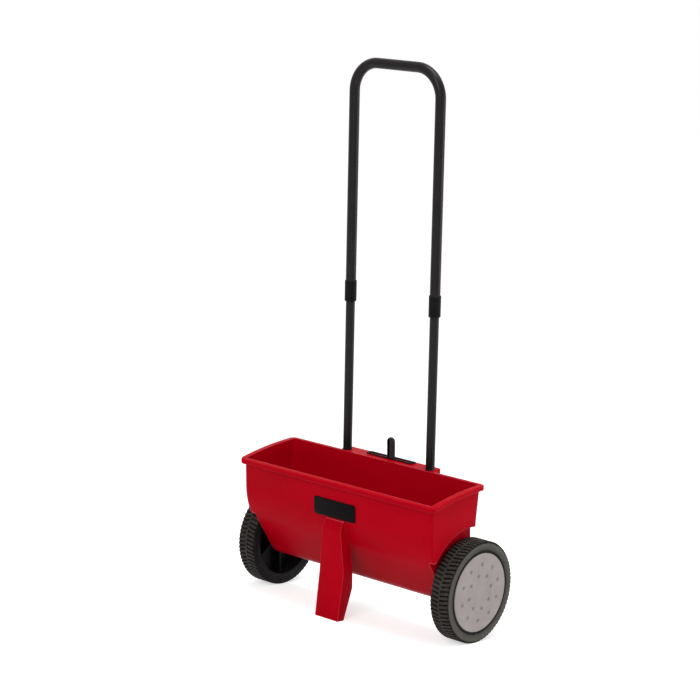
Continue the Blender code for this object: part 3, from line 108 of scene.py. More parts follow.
RIM_LIP_DEPTH = 0.0095
RIM_EDGE = 0.0011
SHELF_HALF_WIDTH = 0.119
SHELF_BACK = 0.070
SHELF_CORNER_RADIUS = 0.006
SOCKET_HALF_WIDTH = 0.01345
SOCKET_BACK = 0.06255
SOCKET_BOTTOM = 0.092
SOCKET_FLOOR = 0.004
SOCKET_CORNER_RADIUS = 0.004
SLOT_COUNT = 13
SLOT_PITCH = 0.032
SLOT_WIDTH = 0.014
SLOT_FRONT = -0.004
SLOT_BACK = 0.008
SLIDE_FRONT = -0.008
SLIDE_BACK = 0.012
SLIDE_THICKNESS = 0.0023
HOOK_WALL = 0.0032
HOOK_LIP = 0.0028
HOOK_LIP_THICKNESS = 0.0018
HOOK_WIDTH = 0.020
HOOK_PLACES = (0.070, 0.180)
BUSH_RADIUS = 0.0085

# Stand and plate, as in the CAD.
STAND_HALF_WIDTH = 0.031
STAND_TOP_HALF_WIDTH = 0.022
STAND_FOOT_HALF_WIDTH = 0.029
STAND_PLATE_MARGIN = 0.003
STAND_SHOULDER_LENGTH = 0.016
STAND_FRONT = 0.120
STAND_BEND = 0.010
STAND_TOE_REACH = 0.136
STAND_TOE_DROP = 0.0814
STAND_FOOT_DEPTH = 0.018
STAND_KNEE_DROP = 0.023
STAND_BACK = 0.0935
STAND_WALL = 0.0025
STAND_SOLE = 0.004
STAND_EDGE_RADIUS = 0.0035
STAND_KNEE_RADIUS = 0.010
STAND_SHOULDER_RADIUS = 0.012
STAND_BEND_RADIUS = 0.080
STAND_SIDE_RADIUS = 0.060
STAND_SCREW_X = 0.015
STAND_SCREW_RADIUS = 0.0025
PLATE_HALF_LENGTH = 0.053
PLATE_HALF_HEIGHT = 0.018
PLATE_HEIGHT = 0.135
PLATE_THICKNESS = 0.0012
PLATE_CORNER_RADIUS = 0.005
PLATE_EDGE = 0.0005

# Lever and guide, as in the CAD. Only LEVER_WAIST_RADIUS is larger, for a softer curve.
LEVER_Y = 0.058
LEVER_THICKNESS = 0.006
LEVER_SWING = radians(12)
LEVER_PIVOT_HEIGHT = 0.0085
LEVER_TOP = 0.243
LEVER_WIDTH = 0.017
LEVER_WAIST = 0.012
LEVER_WIDE_FROM = 0.150
LEVER_HUB_RADIUS = 0.0115
LEVER_TIP_WIDTH = 0.008
LEVER_TIP_REACH = 0.004
LEVER_EDGE = 0.0018
LEVER_WAIST_RADIUS = 0.030
LEVER_TIP_RADIUS = 0.001
LEVER_TOP_ROUNDING = 0.97
LEVER_BOSS_RADIUS = 0.0095
LEVER_BOSS_ROOT_RADIUS = 0.0145
PIVOT_RADIUS = 0.003
PIVOT_DEPTH = 0.018
GUIDE_HALF_LENGTH = 0.058983
GUIDE_FRONT = 0.050
GUIDE_BACK = 0.066
GUIDE_THICKNESS = 0.002
GUIDE_SLOT_MARGIN = 0.0007
GUIDE_SCREW_RADIUS = 0.0014
GUIDE_SCREW_INSET = 0.0045
GUIDE_EDGE = 0.0005
GUIDE_CORNER_RADIUS = 0.003

# Wheels, as in the CAD, but with the tread at its real pitch, a tighter shoulder on the tyres, and rounder
# edges and deeper dents on the caps.
TYRE_INNER_RADIUS = 0.0823
TYRE_WALL = 0.008
TYRE_TREAD_THICKNESS = 0.007
TYRE_SHOULDER = 0.0030
TYRE_BULGE = 0.0012
TYRE_BEAD = 0.0010
TREAD_PITCHES = 72
TREAD_DEPTH = 0.0032
TREAD_GROOVE_WIDTH = 0.0040
TREAD_BAND = 0.0030
TREAD_OVERRUN = 0.0016
TREAD_SKEW = radians(10)
WHEEL_RIM_WALL = 0.004
WHEEL_RIM_LIP = 0.002
WHEEL_RIM_EDGE = 0.0006
WHEEL_WEB_DEPTH = 0.004
WHEEL_WEB_THICKNESS = 0.004
HUB_RADIUS = 0.017
HUB_RECESS_RADIUS = 0.012
HUB_RECESS_DEPTH = 0.010
HUB_END_DEPTH = 0.044
WHEEL_RIBS = 6
WHEEL_RIB_THICKNESS = 0.003
WHEEL_RIB_DEPTH = 0.016
DRIVE_PIN_RADIUS = 0.002
DRIVE_PIN_LENGTH = 0.026
AXLE_BORE_RADIUS = 0.0054
CAP_RADIUS = 0.077
CAP_THICKNESS = 0.0032
CAP_EDGE = 0.0012
CAP_SPIGOT_RADIUS = 0.0117
CAP_SPIGOT_WALL = 0.0015
CAP_SPIGOT_LENGTH = 0.0043
DENT_RADIUS = 0.0058
DENT_DEPTH = 0.0023
OUTER_DENTS = 10
OUTER_DENT_CIRCLE = 0.0555
OUTER_DENT_PHASE = radians(12)
INNER_DENTS = 8
INNER_DENT_CIRCLE = 0.034
INNER_DENT_PHASE = radians(8)

# Handle, as in the CAD. HANDLE_TOP is 0.05 mm lower, to keep the finer bend inside the CAD's box.
HANDLE_HALF_WIDTH = 0.107
HANDLE_LEAN = 0.030
HANDLE_Y = 0.0431
HANDLE_TOP = 0.97695
HANDLE_BEND_RADIUS = 0.057
UPPER_TUBE_RADIUS = 0.01025
UPPER_TUBE_WALL = 0.0009
UPPER_TUBE_BOTTOM = 0.520
LOWER_TUBE_RADIUS = 0.00905
LOWER_TUBE_WALL = 0.0009
LOWER_TUBE_TOP = 0.560
SLEEVE_RADIUS = 0.0118
SLEEVE_BOTTOM = 0.504
SLEEVE_TOP = 0.546
SLEEVE_EDGE = 0.0014
HANDLE_BOLT_HEIGHT = 0.128
HANDLE_BOLT_RADIUS = 0.0025
JOINT_SCREW_HEIGHT = 0.533
JOINT_SCREW_RADIUS = 0.0018

# How finely curves are cut.
ARC_STEP = radians(9)
ARC_FLATNESS = 0.00003
ROUND_SIDES = 96
TYRE_SIDES = 144
TUBE_SIDES = 32
SMALL_SIDES = 24
HUB_SIDES = 48
RIM_STEPS = 28
SIDEWALL_STEPS = 8
CAP_RINGS = 60
FAR = 0.300
HOLE_OVERRUN = 1.5
SAME_PLACE = 1e-6
SHARP_ANGLE = radians(30)
BEVEL_ANGLE = radians(40)
SQUARE_ANGLE = radians(60)
STRAIGHT_ANGLE = radians(0.2)
SMALLEST_TURN = radians(0.5)

# Camera, fitted to the photograph in the machine's upright frame.
CAMERA_AZIMUTH = radians(41.20)
CAMERA_ELEVATION = radians(14.07)
CAMERA_PLACE = Vector((2.6919, -3.1404, 1.4687))
FOCAL_PIXELS = 2200.7
PHOTO_PIXELS = 700
SENSOR_MM = 36.0
CLIP_END = 100.0

# Floor and sky.
FLOOR_REACH = 30.0
FLOOR_THICKNESS = 0.02
FLOOR_COLOUR = 0.80
FLOOR_GLOW = 0.58
SKY_LIGHT = 0.55

# Lamps as (name, place, the point that it faces, size, watts).
LAMPS = (("key", (1.2, -3.3, 2.4), (0.0, 0.0, 0.4), (1.6, 1.6), 52.0),
         ("side", (2.9, 2.3, 0.8), (0.0, 0.0, 0.3), (1.6, 1.2), 26.0),
         ("top", (0.5, -0.1, 3.2), (0.0, 0.0, 0.3), (1.6, 1.6), 52.0))

ALONG_X = Matrix(((0, 0, 1, 0), (1, 0, 0, 0), (0, 1, 0, 0), (0, 0, 0, 1)))
ALONG_Y = Matrix(((1, 0, 0, 0), (0, 0, -1, 0), (0, 1, 0, 0), (0, 0, 0, 1)))
ALONG_Z = Matrix.Identity(4)


# Meshes of simple shapes, in the machine's upright frame.

def to_mesh(bm):
    mesh = bpy.data.meshes.new("shape")
    bm.to_mesh(mesh)
    bm.free()
    return mesh


def box(low, high):
    bm = bmesh.new()
    bmesh.ops.create_cube(bm, size=1.0)
    bmesh.ops.scale(bm, vec=Vector(high) - Vector(low), verts=bm.verts)
    bmesh.ops.translate(bm, vec=(Vector(low) + Vector(high)) / 2, verts=bm.verts)
    return to_mesh(bm)


def cylinder(start, end, radius, sides=SMALL_SIDES, end_radius=None):
    start = Vector(start)
    axis = Vector(end) - start
    bm = bmesh.new()
    top = radius if end_radius is None else end_radius
    bmesh.ops.create_cone(bm, cap_ends=True, segments=sides, radius1=radius, radius2=top, depth=axis.length)
    turn = axis.to_track_quat("Z", "Y").to_matrix().to_4x4()
    bmesh.ops.transform(bm, matrix=Matrix.Translation(start + axis / 2) @ turn, verts=bm.verts)
    return to_mesh(bm)


def join(meshes):
    bm = bmesh.new()
    for mesh in meshes:
        bm.from_mesh(mesh)
    return to_mesh(bm)


def work_object(data):
    obj = bpy.data.objects.new("work", data)
    bpy.context.scene.collection.objects.link(obj)
    return obj


def settled(obj, helpers=()):
    """The mesh that the object's modifiers give, with the object and its helpers removed."""
    depsgraph = bpy.context.evaluated_depsgraph_get()
    mesh = bpy.data.meshes.new_from_object(obj.evaluated_get(depsgraph), depsgraph=depsgraph)
    for used in (obj, *helpers):
        bpy.data.objects.remove(used, do_unlink=True)
    return mesh


def combined(mesh, *steps):
    """The mesh after exact Booleans with each (operation, mesh) step in turn."""
    obj = work_object(mesh)
    helpers = []
    for operation, other in steps:
        helper = work_object(other)
        helpers.append(helper)
        modifier = obj.modifiers.new("step", "BOOLEAN")
        modifier.operation = operation
        modifier.solver = "EXACT"
        modifier.object = helper
    return settled(obj, helpers)


def bevelled(mesh, width, segments, limit=BEVEL_ANGLE):
    obj = work_object(mesh)
    modifier = obj.modifiers.new("rounding", "BEVEL")
    modifier.width = width
    modifier.segments = segments
    modifier.limit_method = "ANGLE"
    modifier.angle_limit = limit
    return settled(obj)


def slab(outline, low, high, direction):
    """A flat outline given thickness from low to high along the direction."""
    curve = bpy.data.curves.new("outline", "CURVE")
    curve.dimensions = "2D"
    curve.fill_mode = "BOTH"
    curve.extrude = (high - low) / 2
    spline = curve.splines.new("POLY")
    spline.points.add(len(outline) - 1)
    for point, (u, v) in zip(spline.points, outline):
        point.co = (u, v, 0.0, 1.0)
    spline.use_cyclic_u = True
    sign = -1 if direction is ALONG_Y else 1
    bm = bmesh.new()
    bm.from_mesh(settled(work_object(curve)))
    bmesh.ops.remove_doubles(bm, verts=bm.verts, dist=SAME_PLACE)
    bmesh.ops.dissolve_limit(bm, angle_limit=STRAIGHT_ANGLE, verts=bm.verts, edges=bm.edges)
    bmesh.ops.translate(bm, vec=(0.0, 0.0, sign * (low + high) / 2), verts=bm.verts)
    bmesh.ops.transform(bm, matrix=direction, verts=bm.verts)
    bmesh.ops.recalc_face_normals(bm, faces=bm.faces)
    return to_mesh(bm)


def turned(profile, sides, closed=True):
    """A turned shape about Z. The profile lists (radius, height) down its outer side."""
    mesh = bpy.data.meshes.new("profile")
    last = len(profile) - 1
    edges = [(index, index + 1) for index in range(last)]
    if closed:
        edges.append((last, 0))
    mesh.from_pydata([(radius, 0.0, height) for radius, height in profile], edges, [])
    obj = work_object(mesh)
    screw = obj.modifiers.new("turned", "SCREW")
    screw.axis = "Z"
    screw.angle = 2 * pi
    screw.steps = sides
    screw.render_steps = sides
    screw.use_merge_vertices = True
    screw.merge_threshold = SAME_PLACE
    return settled(obj)


def arc_steps(radius, turn):
    step = min(ARC_STEP, 2 * acos(max(0.0, 1 - ARC_FLATNESS / radius)))
    return ceil(abs(turn) / step)


def arc_points(centre, radius, start, end):
    steps = arc_steps(radius, end - start)
    angles = [start + (end - start) * step / steps for step in range(steps + 1)]
    return [(centre[0] + radius * cos(angle), centre[1] + radius * sin(angle)) for angle in angles]


def rounded(corners):
    """Points of a closed outline whose corners (u, v, radius) are rounded off."""
    points = []
    for index, (u, v, radius) in enumerate(corners):
        here = Vector((u, v))
        to_last = (Vector(corners[index - 1][:2]) - here).normalized()
        to_next = (Vector(corners[(index + 1) % len(corners)][:2]) - here).normalized()
        half = to_last.angle(to_next) / 2
        if radius <= 0.0 or pi / 2 - half < SMALLEST_TURN:
            points.append((u, v))
            continue
        centre = here + (to_last + to_next).normalized() * radius / sin(half)
        start = here + to_last * radius / tan(half) - centre
        sign = 1 if to_last.cross(to_next) < 0 else -1
        angle = atan2(start.y, start.x)
        points += arc_points(centre, radius, angle, angle + sign * (pi - 2 * half))
    return points


def inset(corners, distance):
    """The corners of a counterclockwise outline moved inward by the distance, outward if it is negative."""
    moved = []
    for index, (u, v, radius) in enumerate(corners):
        here = Vector((u, v))
        before = (here - Vector(corners[index - 1][:2])).normalized()
        after = (Vector(corners[(index + 1) % len(corners)][:2]) - here).normalized()
        normal_before = Vector((-before.y, before.x))
        normal_after = Vector((-after.y, after.x))
        shift = (normal_before + normal_after) * distance / (1 + normal_before.dot(normal_after))
        change = -distance if before.cross(after) > 0 else distance
        moved.append((u + shift.x, v + shift.y, max(0.0, radius + change) if radius else 0.0))
    return moved


def rectangle(u0, u1, v0, v1, radius=0.0):
    return [(u0, v0, radius), (u1, v0, radius), (u1, v1, radius), (u0, v1, radius)]


# Materials.

def linear(red, green, blue):
    """A screen colour, 0 to 255, as the shader's linear colour."""
    def channel(value):
        value = value / 255
        return value / 12.92 if value <= 0.04045 else ((value + 0.055) / 1.055) ** 2.4
    return (channel(red), channel(green), channel(blue), 1.0)


def add_node(tree, kind, inputs=None, **settings):
    """A new shader node. Its inputs are values or the outputs of other nodes."""
    node = tree.nodes.new("ShaderNode" + kind)
    for key, value in settings.items():
        setattr(node, key, value)
    for key, value in (inputs or {}).items():
        if isinstance(value, bpy.types.NodeSocket):
            tree.links.new(value, node.inputs[key])
        else:
            node.inputs[key].default_value = value
    return node


class Shader:
    """Builds one material from nodes on object coordinates."""

    def __init__(self, name, **values):
        self.material = bpy.data.materials.new(name)
        self.material.use_nodes = True
        self.tree = self.material.node_tree
        self.principled = self.tree.nodes["Principled BSDF"]
        for key, value in values.items():
            self.principled.inputs[key.replace("_", " ")].default_value = value
        self.coordinates = add_node(self.tree, "TexCoord").outputs["Object"]

    def noise(self, scale, detail=3.0, roughness=0.55, stretch=(1.0, 1.0, 1.0)):
        stretched = add_node(self.tree, "Mapping", {"Vector": self.coordinates, "Scale": stretch})
        inputs = {"Vector": stretched.outputs["Vector"], "Scale": scale, "Detail": detail,
                  "Roughness": roughness}
        return add_node(self.tree, "TexNoise", inputs).outputs["Fac"]

    def ramp(self, factor, stops):
        """A colour ramp; stops are (position, colour)."""
        node = add_node(self.tree, "ValToRGB", {"Fac": factor})
        elements = node.color_ramp.elements
        while len(elements) < len(stops):
            elements.new(0.5)
        for element, (position, colour) in zip(elements, stops):
            element.position = position
            element.color = colour
        return node.outputs["Color"]

    def grey_ramp(self, factor, low, high, start=0.3, end=0.7):
        return self.ramp(factor, [(start, (low, low, low, 1.0)), (end, (high, high, high, 1.0))])

    def mix(self, factor, first, second):
        inputs = {"Factor": factor, "A": first, "B": second}
        node = add_node(self.tree, "Mix", data_type="RGBA")
        for key, value in inputs.items():
            socket = next(socket for socket in node.inputs if socket.name == key and socket.enabled)
            if isinstance(value, bpy.types.NodeSocket):
                self.tree.links.new(value, socket)
            else:
                socket.default_value = value
        return next(socket for socket in node.outputs if socket.enabled)

    def math(self, operation, first, second):
        return add_node(self.tree, "Math", {0: first, 1: second}, operation=operation).outputs["Value"]

    def spread(self, value, low, high):
        """The value as 0 at low and 1 at high."""
        inputs = {"Value": value, "From Min": low, "From Max": high}
        return add_node(self.tree, "MapRange", inputs).outputs["Result"]

    def edges(self, reach, share=0.5):
        """Near 1 along the piece's outer edges, over the share that noise leaves, and 0 on its open faces."""
        inside = add_node(self.tree, "AmbientOcclusion", {"Distance": reach}, samples=8, inside=True,
                          only_local=True)
        edge = self.spread(inside.outputs["AO"], 0.75, 0.35)
        bare = 1.0 - share
        patches = self.grey_ramp(self.noise(130.0, 4.0, 0.65), 0.15, 1.0, bare - 0.12, bare + 0.12)
        return self.math("MULTIPLY", edge, patches)

    def radius(self, low, high):
        """Distance from the axle's axis, as 0 at low and 1 at high."""
        inputs = {"Vector": self.coordinates, "Location": (0.0, -AXLE.y, -AXLE.z), "Scale": (0.0, 1.0, 1.0)}
        spoke = add_node(self.tree, "Mapping", inputs).outputs["Vector"]
        length = add_node(self.tree, "VectorMath", {0: spoke}, operation="LENGTH").outputs["Value"]
        return self.spread(length, low, high)

    def across(self, low, high):
        """Distance from the machine's middle plane, as 0 at low and 1 at high."""
        x = add_node(self.tree, "SeparateXYZ", {"Vector": self.coordinates}).outputs["X"]
        return self.spread(self.math("ABSOLUTE", x, 0.0), low, high)

    def hollows(self, reach):
        """1 deep in the piece's own hollows and 0 on its open faces."""
        outside = add_node(self.tree, "AmbientOcclusion", {"Distance": reach}, samples=8, only_local=True)
        return self.spread(outside.outputs["AO"], 0.97, 0.70)

    def colour(self, output):
        self.tree.links.new(output, self.principled.inputs["Base Color"])

    def rough(self, output):
        self.tree.links.new(output, self.principled.inputs["Roughness"])

    def bump(self, height, strength, distance, edge=0.0):
        inputs = {"Height": height, "Strength": strength, "Distance": distance}
        if edge:
            inputs["Normal"] = add_node(self.tree, "Bevel", {"Radius": edge}, samples=4).outputs["Normal"]
        node = add_node(self.tree, "Bump", inputs)
        self.tree.links.new(node.outputs["Normal"], self.principled.inputs["Normal"])


def red_plastic():
    """Moulded red plastic with faint flow marks, a fine skin and worn edges with a painted pink highlight."""
    shader = Shader("red_plastic", **{"IOR": 1.46, "Specular_IOR_Level": 0.025})
    flow = shader.noise(14.0, 4.0, 0.6, (0.35, 1.0, 1.0))
    base = shader.ramp(flow, [(0.25, linear(165, 0, 19)), (0.55, linear(175, 0, 22)),
                              (0.85, linear(183, 1, 25))])
    # Lighter pink on the outer edges: partly wear, partly a painted highlight along the rim's edges.
    rubbed_and_highlit = shader.edges(0.0024, 0.8)
    shader.colour(shader.mix(rubbed_and_highlit, base, linear(226, 92, 98)))
    sheen = shader.grey_ramp(shader.noise(60.0, 5.0), 0.30, 0.42)
    shader.rough(shader.mix(rubbed_and_highlit, sheen, linear(188, 188, 188)))
    shader.bump(shader.noise(900.0, 2.0), 0.10, 0.0004, 0.0008)
    return shader.material


def black_plastic(name, low, high):
    """Matte moulded black plastic with a spark-eroded grain, greyer where it is worn."""
    shader = Shader(name, **{"IOR": 1.46, "Specular_IOR_Level": 0.08})
    base = shader.ramp(shader.noise(80.0), [(0.3, low), (0.7, high)])
    shader.colour(shader.mix(shader.edges(0.0014), base, linear(62, 57, 58)))
    shader.rough(shader.grey_ramp(shader.noise(220.0, 3.0), 0.42, 0.58))
    shader.bump(shader.noise(1600.0, 2.0), 0.18, 0.0003, 0.0006)
    return shader.material


def tyre_rubber():
    """Dull rubber: dusty lugs and sidewall, a dark bead, and painted shade on the groove floors and inboard
    side.
    """
    shader = Shader("tyre_rubber", **{"IOR": 1.50, "Specular_IOR_Level": 0.14})
    low = TYRE_INNER_RADIUS - TYRE_BEAD
    floor_radius = WHEEL_RADIUS - TREAD_DEPTH

    def place(radius):
        return (radius - low) / (WHEEL_RADIUS - low)
    # The near-black ring at the groove floors' radius is painted shade in the grooves.
    zones = shader.ramp(shader.radius(low, WHEEL_RADIUS), [
        (0.0, linear(18, 16, 18)), (place(TYRE_INNER_RADIUS + 0.0012), linear(66, 64, 61)),
        (place(floor_radius - 0.0024), linear(84, 82, 78)), (place(floor_radius - 0.0002), linear(8, 8, 8)),
        (place(floor_radius + 0.0010), linear(12, 11, 11)),
        (place(WHEEL_RADIUS - 0.0006), linear(46, 42, 40))])
    dust = shader.grey_ramp(shader.noise(70.0, 6.0, 0.7), 0.0, 0.30, 0.48, 0.72)
    dusty = shader.mix(dust, zones, linear(96, 91, 82))
    rubbed_and_highlit = shader.mix(shader.edges(0.0010), dusty, linear(82, 80, 76))
    # Near black on the inboard side: painted shade, where the wheels' inner faces lie in shadow under the
    # hopper.
    inboard = TRACK_HALF - WHEEL_WIDTH
    shader.colour(shader.mix(shader.across(inboard + 0.0006, inboard + 0.0030), linear(9, 8, 8), rubbed_and_highlit))
    shader.rough(shader.grey_ramp(shader.noise(120.0, 4.0), 0.62, 0.85))
    shader.bump(shader.noise(1100.0, 3.0), 0.30, 0.0004, 0.0005)
    return shader.material


def grey_plastic():
    """Light grey moulded plastic of the hub caps, faintly warm, with fine scuffs and painted shade in its
    dents.
    """
    shader = Shader("grey_plastic", **{"IOR": 1.46, "Specular_IOR_Level": 0.20})
    base = shader.ramp(shader.noise(30.0, 4.0), [(0.3, linear(148, 139, 138)), (0.7, linear(159, 150, 149))])
    scuffs = shader.grey_ramp(shader.noise(90.0, 6.0, 0.75, (1.0, 0.35, 2.2)), 0.0, 0.30, 0.60, 0.74)
    scuffed_and_shaded = shader.mix(scuffs, base, linear(128, 120, 118))
    # Darker deep in the dents: painted shade in the cap's hollows.
    scuffed_and_shaded = shader.mix(shader.hollows(0.010), scuffed_and_shaded, linear(78, 70, 70))
    shader.colour(shader.mix(shader.edges(0.0012), scuffed_and_shaded, linear(206, 200, 198)))
    shader.rough(shader.grey_ramp(shader.noise(160.0, 3.0), 0.42, 0.58))
    shader.bump(shader.noise(1300.0, 2.0), 0.15, 0.0003)
    return shader.material


def black_paint():
    """Powder-coated tube: near black, with an orange-peel skin and small scuffs."""
    shader = Shader("black_paint", **{"IOR": 1.50, "Specular_IOR_Level": 0.16})
    base = shader.ramp(shader.noise(40.0), [(0.3, linear(16, 12, 12)), (0.7, linear(24, 19, 20))])
    scuffs = shader.grey_ramp(shader.noise(160.0, 6.0, 0.8, (1.0, 1.0, 0.3)), 0.0, 0.20, 0.66, 0.76)
    shader.colour(shader.mix(scuffs, base, linear(60, 53, 53)))
    shader.rough(shader.mix(scuffs, shader.grey_ramp(shader.noise(300.0, 3.0), 0.26, 0.38),
                            linear(200, 200, 200)))
    shader.bump(shader.noise(520.0, 2.0), 0.12, 0.0004)
    return shader.material


def zinc_steel():
    """Zinc-plated steel with drawn lines, a faint blue passivation and duller edges."""
    shader = Shader("zinc_steel", Metallic=1.0)
    lines = shader.noise(240.0, 3.0, 0.6, (6.0, 0.4, 0.4))
    base = shader.ramp(lines, [(0.3, linear(170, 174, 181)), (0.7, linear(204, 207, 210))])
    shader.colour(shader.mix(shader.edges(0.0006), base, linear(146, 144, 140)))
    shader.rough(shader.grey_ramp(lines, 0.24, 0.42))
    shader.bump(lines, 0.10, 0.0002, 0.0003)
    return shader.material


def bush_plastic():
    """Natural white bearing plastic, a little waxy, greyed by the shaft at its edges."""
    shader = Shader("bush_plastic", **{"IOR": 1.48, "Subsurface_Weight": 0.1, "Subsurface_Scale": 0.004})
    base = shader.ramp(shader.noise(90.0), [(0.3, linear(206, 202, 192)), (0.7, linear(220, 217, 208))])
    shader.colour(shader.mix(shader.edges(0.0008), base, linear(150, 146, 138)))
    shader.rough(shader.grey_ramp(shader.noise(200.0), 0.38, 0.50))
    shader.bump(shader.noise(1200.0), 0.10, 0.0003, 0.0004)
    return shader.material


def plate_film():
    """Smooth black plate, glossier than the mouldings, with a worn border."""
    shader = Shader("plate_film", **{"IOR": 1.50, "Specular_IOR_Level": 0.04})
    base = shader.ramp(shader.noise(70.0), [(0.3, linear(6, 3, 5)), (0.7, linear(13, 10, 12))])
    shader.colour(shader.mix(shader.edges(0.0006, 0.35), base, linear(48, 40, 44)))
    shader.rough(shader.grey_ramp(shader.noise(260.0), 0.30, 0.44))
    shader.bump(shader.noise(1500.0), 0.06, 0.0002, 0.0004)
    return shader.material


MATERIALS = {"red_plastic": red_plastic(), "tyre_rubber": tyre_rubber(),
             "black_plastic": black_plastic("black_plastic", linear(9, 7, 8), linear(18, 15, 17)),
             "grey_plastic": grey_plastic(), "black_paint": black_paint(), "zinc_steel": zinc_steel(),
             "bush_plastic": bush_plastic()}
PLATE_FILM = plate_film()
# The lever gets a lighter copy of the black plastic: painted light on its lit face.
LEVER_PAINTED_LIGHT_PLASTIC = black_plastic("lever_painted_light_plastic", linear(44, 35, 38), linear(56, 46, 49))
SLOT_OF = {part["node"]: part["material_slot"] for part in frame["record"]["subparts"]}
BODY_OF = {node: body for body, nodes in frame["record"]["behaviour"]["bodies"].items() for node in nodes}


def dress_nodes():
    """Gives each CAD node its slot's material. The guide's two screws are painted black instead."""
    for node, obj in frame["nodes"].items():
        slot = "black_paint" if node.startswith("guide_screw") else SLOT_OF[node]
        obj.data.materials.clear()
        obj.data.materials.append(MATERIALS[slot])


def stand_in(node, mesh, material=None, place=MACHINE):
    """A finer piece that replaces the CAD node of that name."""
    mesh.transform(place)
    mesh.materials.clear()
    mesh.materials.append(material or MATERIALS[SLOT_OF[node]])
    mesh.shade_smooth()
    mesh.set_sharp_from_angle(angle=SHARP_ANGLE)
    obj = bpy.data.objects.new(node + "_surface", mesh)
    bpy.context.scene.collection.objects.link(obj)
    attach(obj, BODY_OF[node])
    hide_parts(node)


# Hopper.

def front_knee_height():
    """Where the upright front would meet the slope, without the curve between them."""
    return (cos(FRONT_SLOPE) * HOPPER_FRONT - SLOPE_DISTANCE) / sin(FRONT_SLOPE)


def section_corners():
    """The hopper's section across the machine, as (y, z, radius)."""
    low_front = -(SLOPE_DISTANCE - sin(FRONT_SLOPE) * TROUGH_DEPTH) / cos(FRONT_SLOPE)
    flare = (BACK_TOP - BACK_KNEE) / (BACK_TOP_HEIGHT - BACK_KNEE_HEIGHT)
    return [(-HOPPER_FRONT, FAR, 0.0),
            (-HOPPER_FRONT, front_knee_height(), FRONT_CURVE_RADIUS),
            (low_front, -TROUGH_DEPTH, TROUGH_FRONT_RADIUS),
            (BACK_FOOT, -TROUGH_DEPTH, TROUGH_BACK_RADIUS),
            (BACK_KNEE, BACK_KNEE_HEIGHT, BACK_KNEE_RADIUS),
            (BACK_KNEE + flare * (FAR - BACK_KNEE_HEIGHT), FAR, 0.0)]


def section_slab(distance, half_width):
    """The hopper's section, drawn in by the distance, as a slab."""
    return slab(rounded(inset(section_corners(), distance)), -half_width, half_width, ALONG_X)


def rim_height(y):
    """Height of the rim's top, which rises to the back with a slight crown."""
    share = min(1.0, max(0.0, (y + RIM_FRONT) / (RIM_FRONT + RIM_BACK)))
    rise = RIM_BACK_HEIGHT - RIM_FRONT_HEIGHT
    return RIM_FRONT_HEIGHT + rise * share + 4 * RIM_CROWN * share * (1 - share)


def rim_band(below, above):
    """A slab across the machine that follows the rim's top, from below it to above it."""
    span = RIM_FRONT + RIM_BACK
    stations = [-FAR] + [-RIM_FRONT + span * step / RIM_STEPS for step in range(RIM_STEPS + 1)] + [FAR]
    lower = [(y, rim_height(y) - below) for y in stations]
    upper = [(y, rim_height(y) + above) for y in reversed(stations)]
    return slab(lower + upper, -FAR, FAR, ALONG_X)


def arch_cylinders(radius, inner_x):
    return join([cylinder((side * inner_x, 0.0, 0.0), (side * FAR, 0.0, 0.0), radius, TYRE_SIDES)
                 for side in SIDES.values()])


def trough_shape(distance):
    """The hopper's body, or its inside at that distance within it, cut away over the wheels."""
    upper = section_slab(distance, HOPPER_HALF_WIDTH - distance)
    upper = bevelled(upper, CORNER_RADIUS - distance, 6)
    lower = section_slab(distance, LOWER_HALF_WIDTH - distance)
    lower = bevelled(lower, LOWER_CORNER_RADIUS - distance, 8)
    arches = arch_cylinders(ARCH_RADIUS + distance, LOWER_HALF_WIDTH - distance)
    return combined(upper, ("DIFFERENCE", arches), ("UNION", lower))


def rim_tray():
    """The rim: a plate with its lip turned down all round."""
    plan = rectangle(-RIM_HALF_WIDTH, RIM_HALF_WIDTH, -RIM_FRONT, RIM_BACK, RIM_CORNER_RADIUS)
    low = RIM_FRONT_HEIGHT - RIM_LIP_DEPTH * 2
    high = RIM_BACK_HEIGHT + RIM_CROWN * 3
    tray = combined(slab(rounded(plan), low, high, ALONG_Z), ("INTERSECT", rim_band(RIM_LIP_DEPTH, 0.0)))
    tray = bevelled(tray, RIM_EDGE, 3)
    hollow = slab(rounded(inset(plan, RIM_LIP_WALL)), low, high, ALONG_Z)
    hollow = combined(hollow, ("INTERSECT", rim_band(RIM_LIP_DEPTH * 1.5, -RIM_PLATE)))
    return combined(tray, ("DIFFERENCE", hollow))


def shelf_tray():
    plan = rectangle(-SHELF_HALF_WIDTH, SHELF_HALF_WIDTH, BACK_TOP - WALL, SHELF_BACK, SHELF_CORNER_RADIUS)
    low = RIM_BACK_HEIGHT - RIM_LIP_DEPTH
    tray = bevelled(slab(rounded(plan), low, RIM_BACK_HEIGHT, ALONG_Z), RIM_EDGE, 3)
    inner = rounded(inset(plan, RIM_LIP_WALL))
    hollow = slab(inner, low - RIM_LIP_DEPTH, RIM_BACK_HEIGHT - RIM_PLATE, ALONG_Z)
    return combined(tray, ("DIFFERENCE", hollow))


def handle_point(x, height):
    return Vector((x, HANDLE_Y + HANDLE_LEAN * height, height))


def sockets():
    blocks = []
    for side in SIDES.values():
        x = side * HANDLE_HALF_WIDTH
        plan = rectangle(x - SOCKET_HALF_WIDTH, x + SOCKET_HALF_WIDTH, 0.0, SOCKET_BACK, SOCKET_CORNER_RADIUS)
        block = slab(rounded(plan), SOCKET_BOTTOM, RIM_BACK_HEIGHT - RIM_PLATE / 2, ALONG_Z)
        blocks.append(bevelled(block, RIM_EDGE, 2))
    return join(blocks)


def hook_outline(side):
    """Section of a hook that holds the metering slide, before it or behind it."""
    web = SLIDE_FRONT - GAP if side < 0 else SLIDE_BACK + GAP
    lip_top = -TROUGH_DEPTH - GAP - SLIDE_THICKNESS - GAP
    low = lip_top - HOOK_LIP_THICKNESS
    top = -TROUGH_DEPTH + WALL / 2
    outer = web + side * HOOK_WALL
    tip = web - side * HOOK_LIP
    return [(outer, low), (outer, top), (web, top), (web, lip_top), (tip, lip_top), (tip, low)]


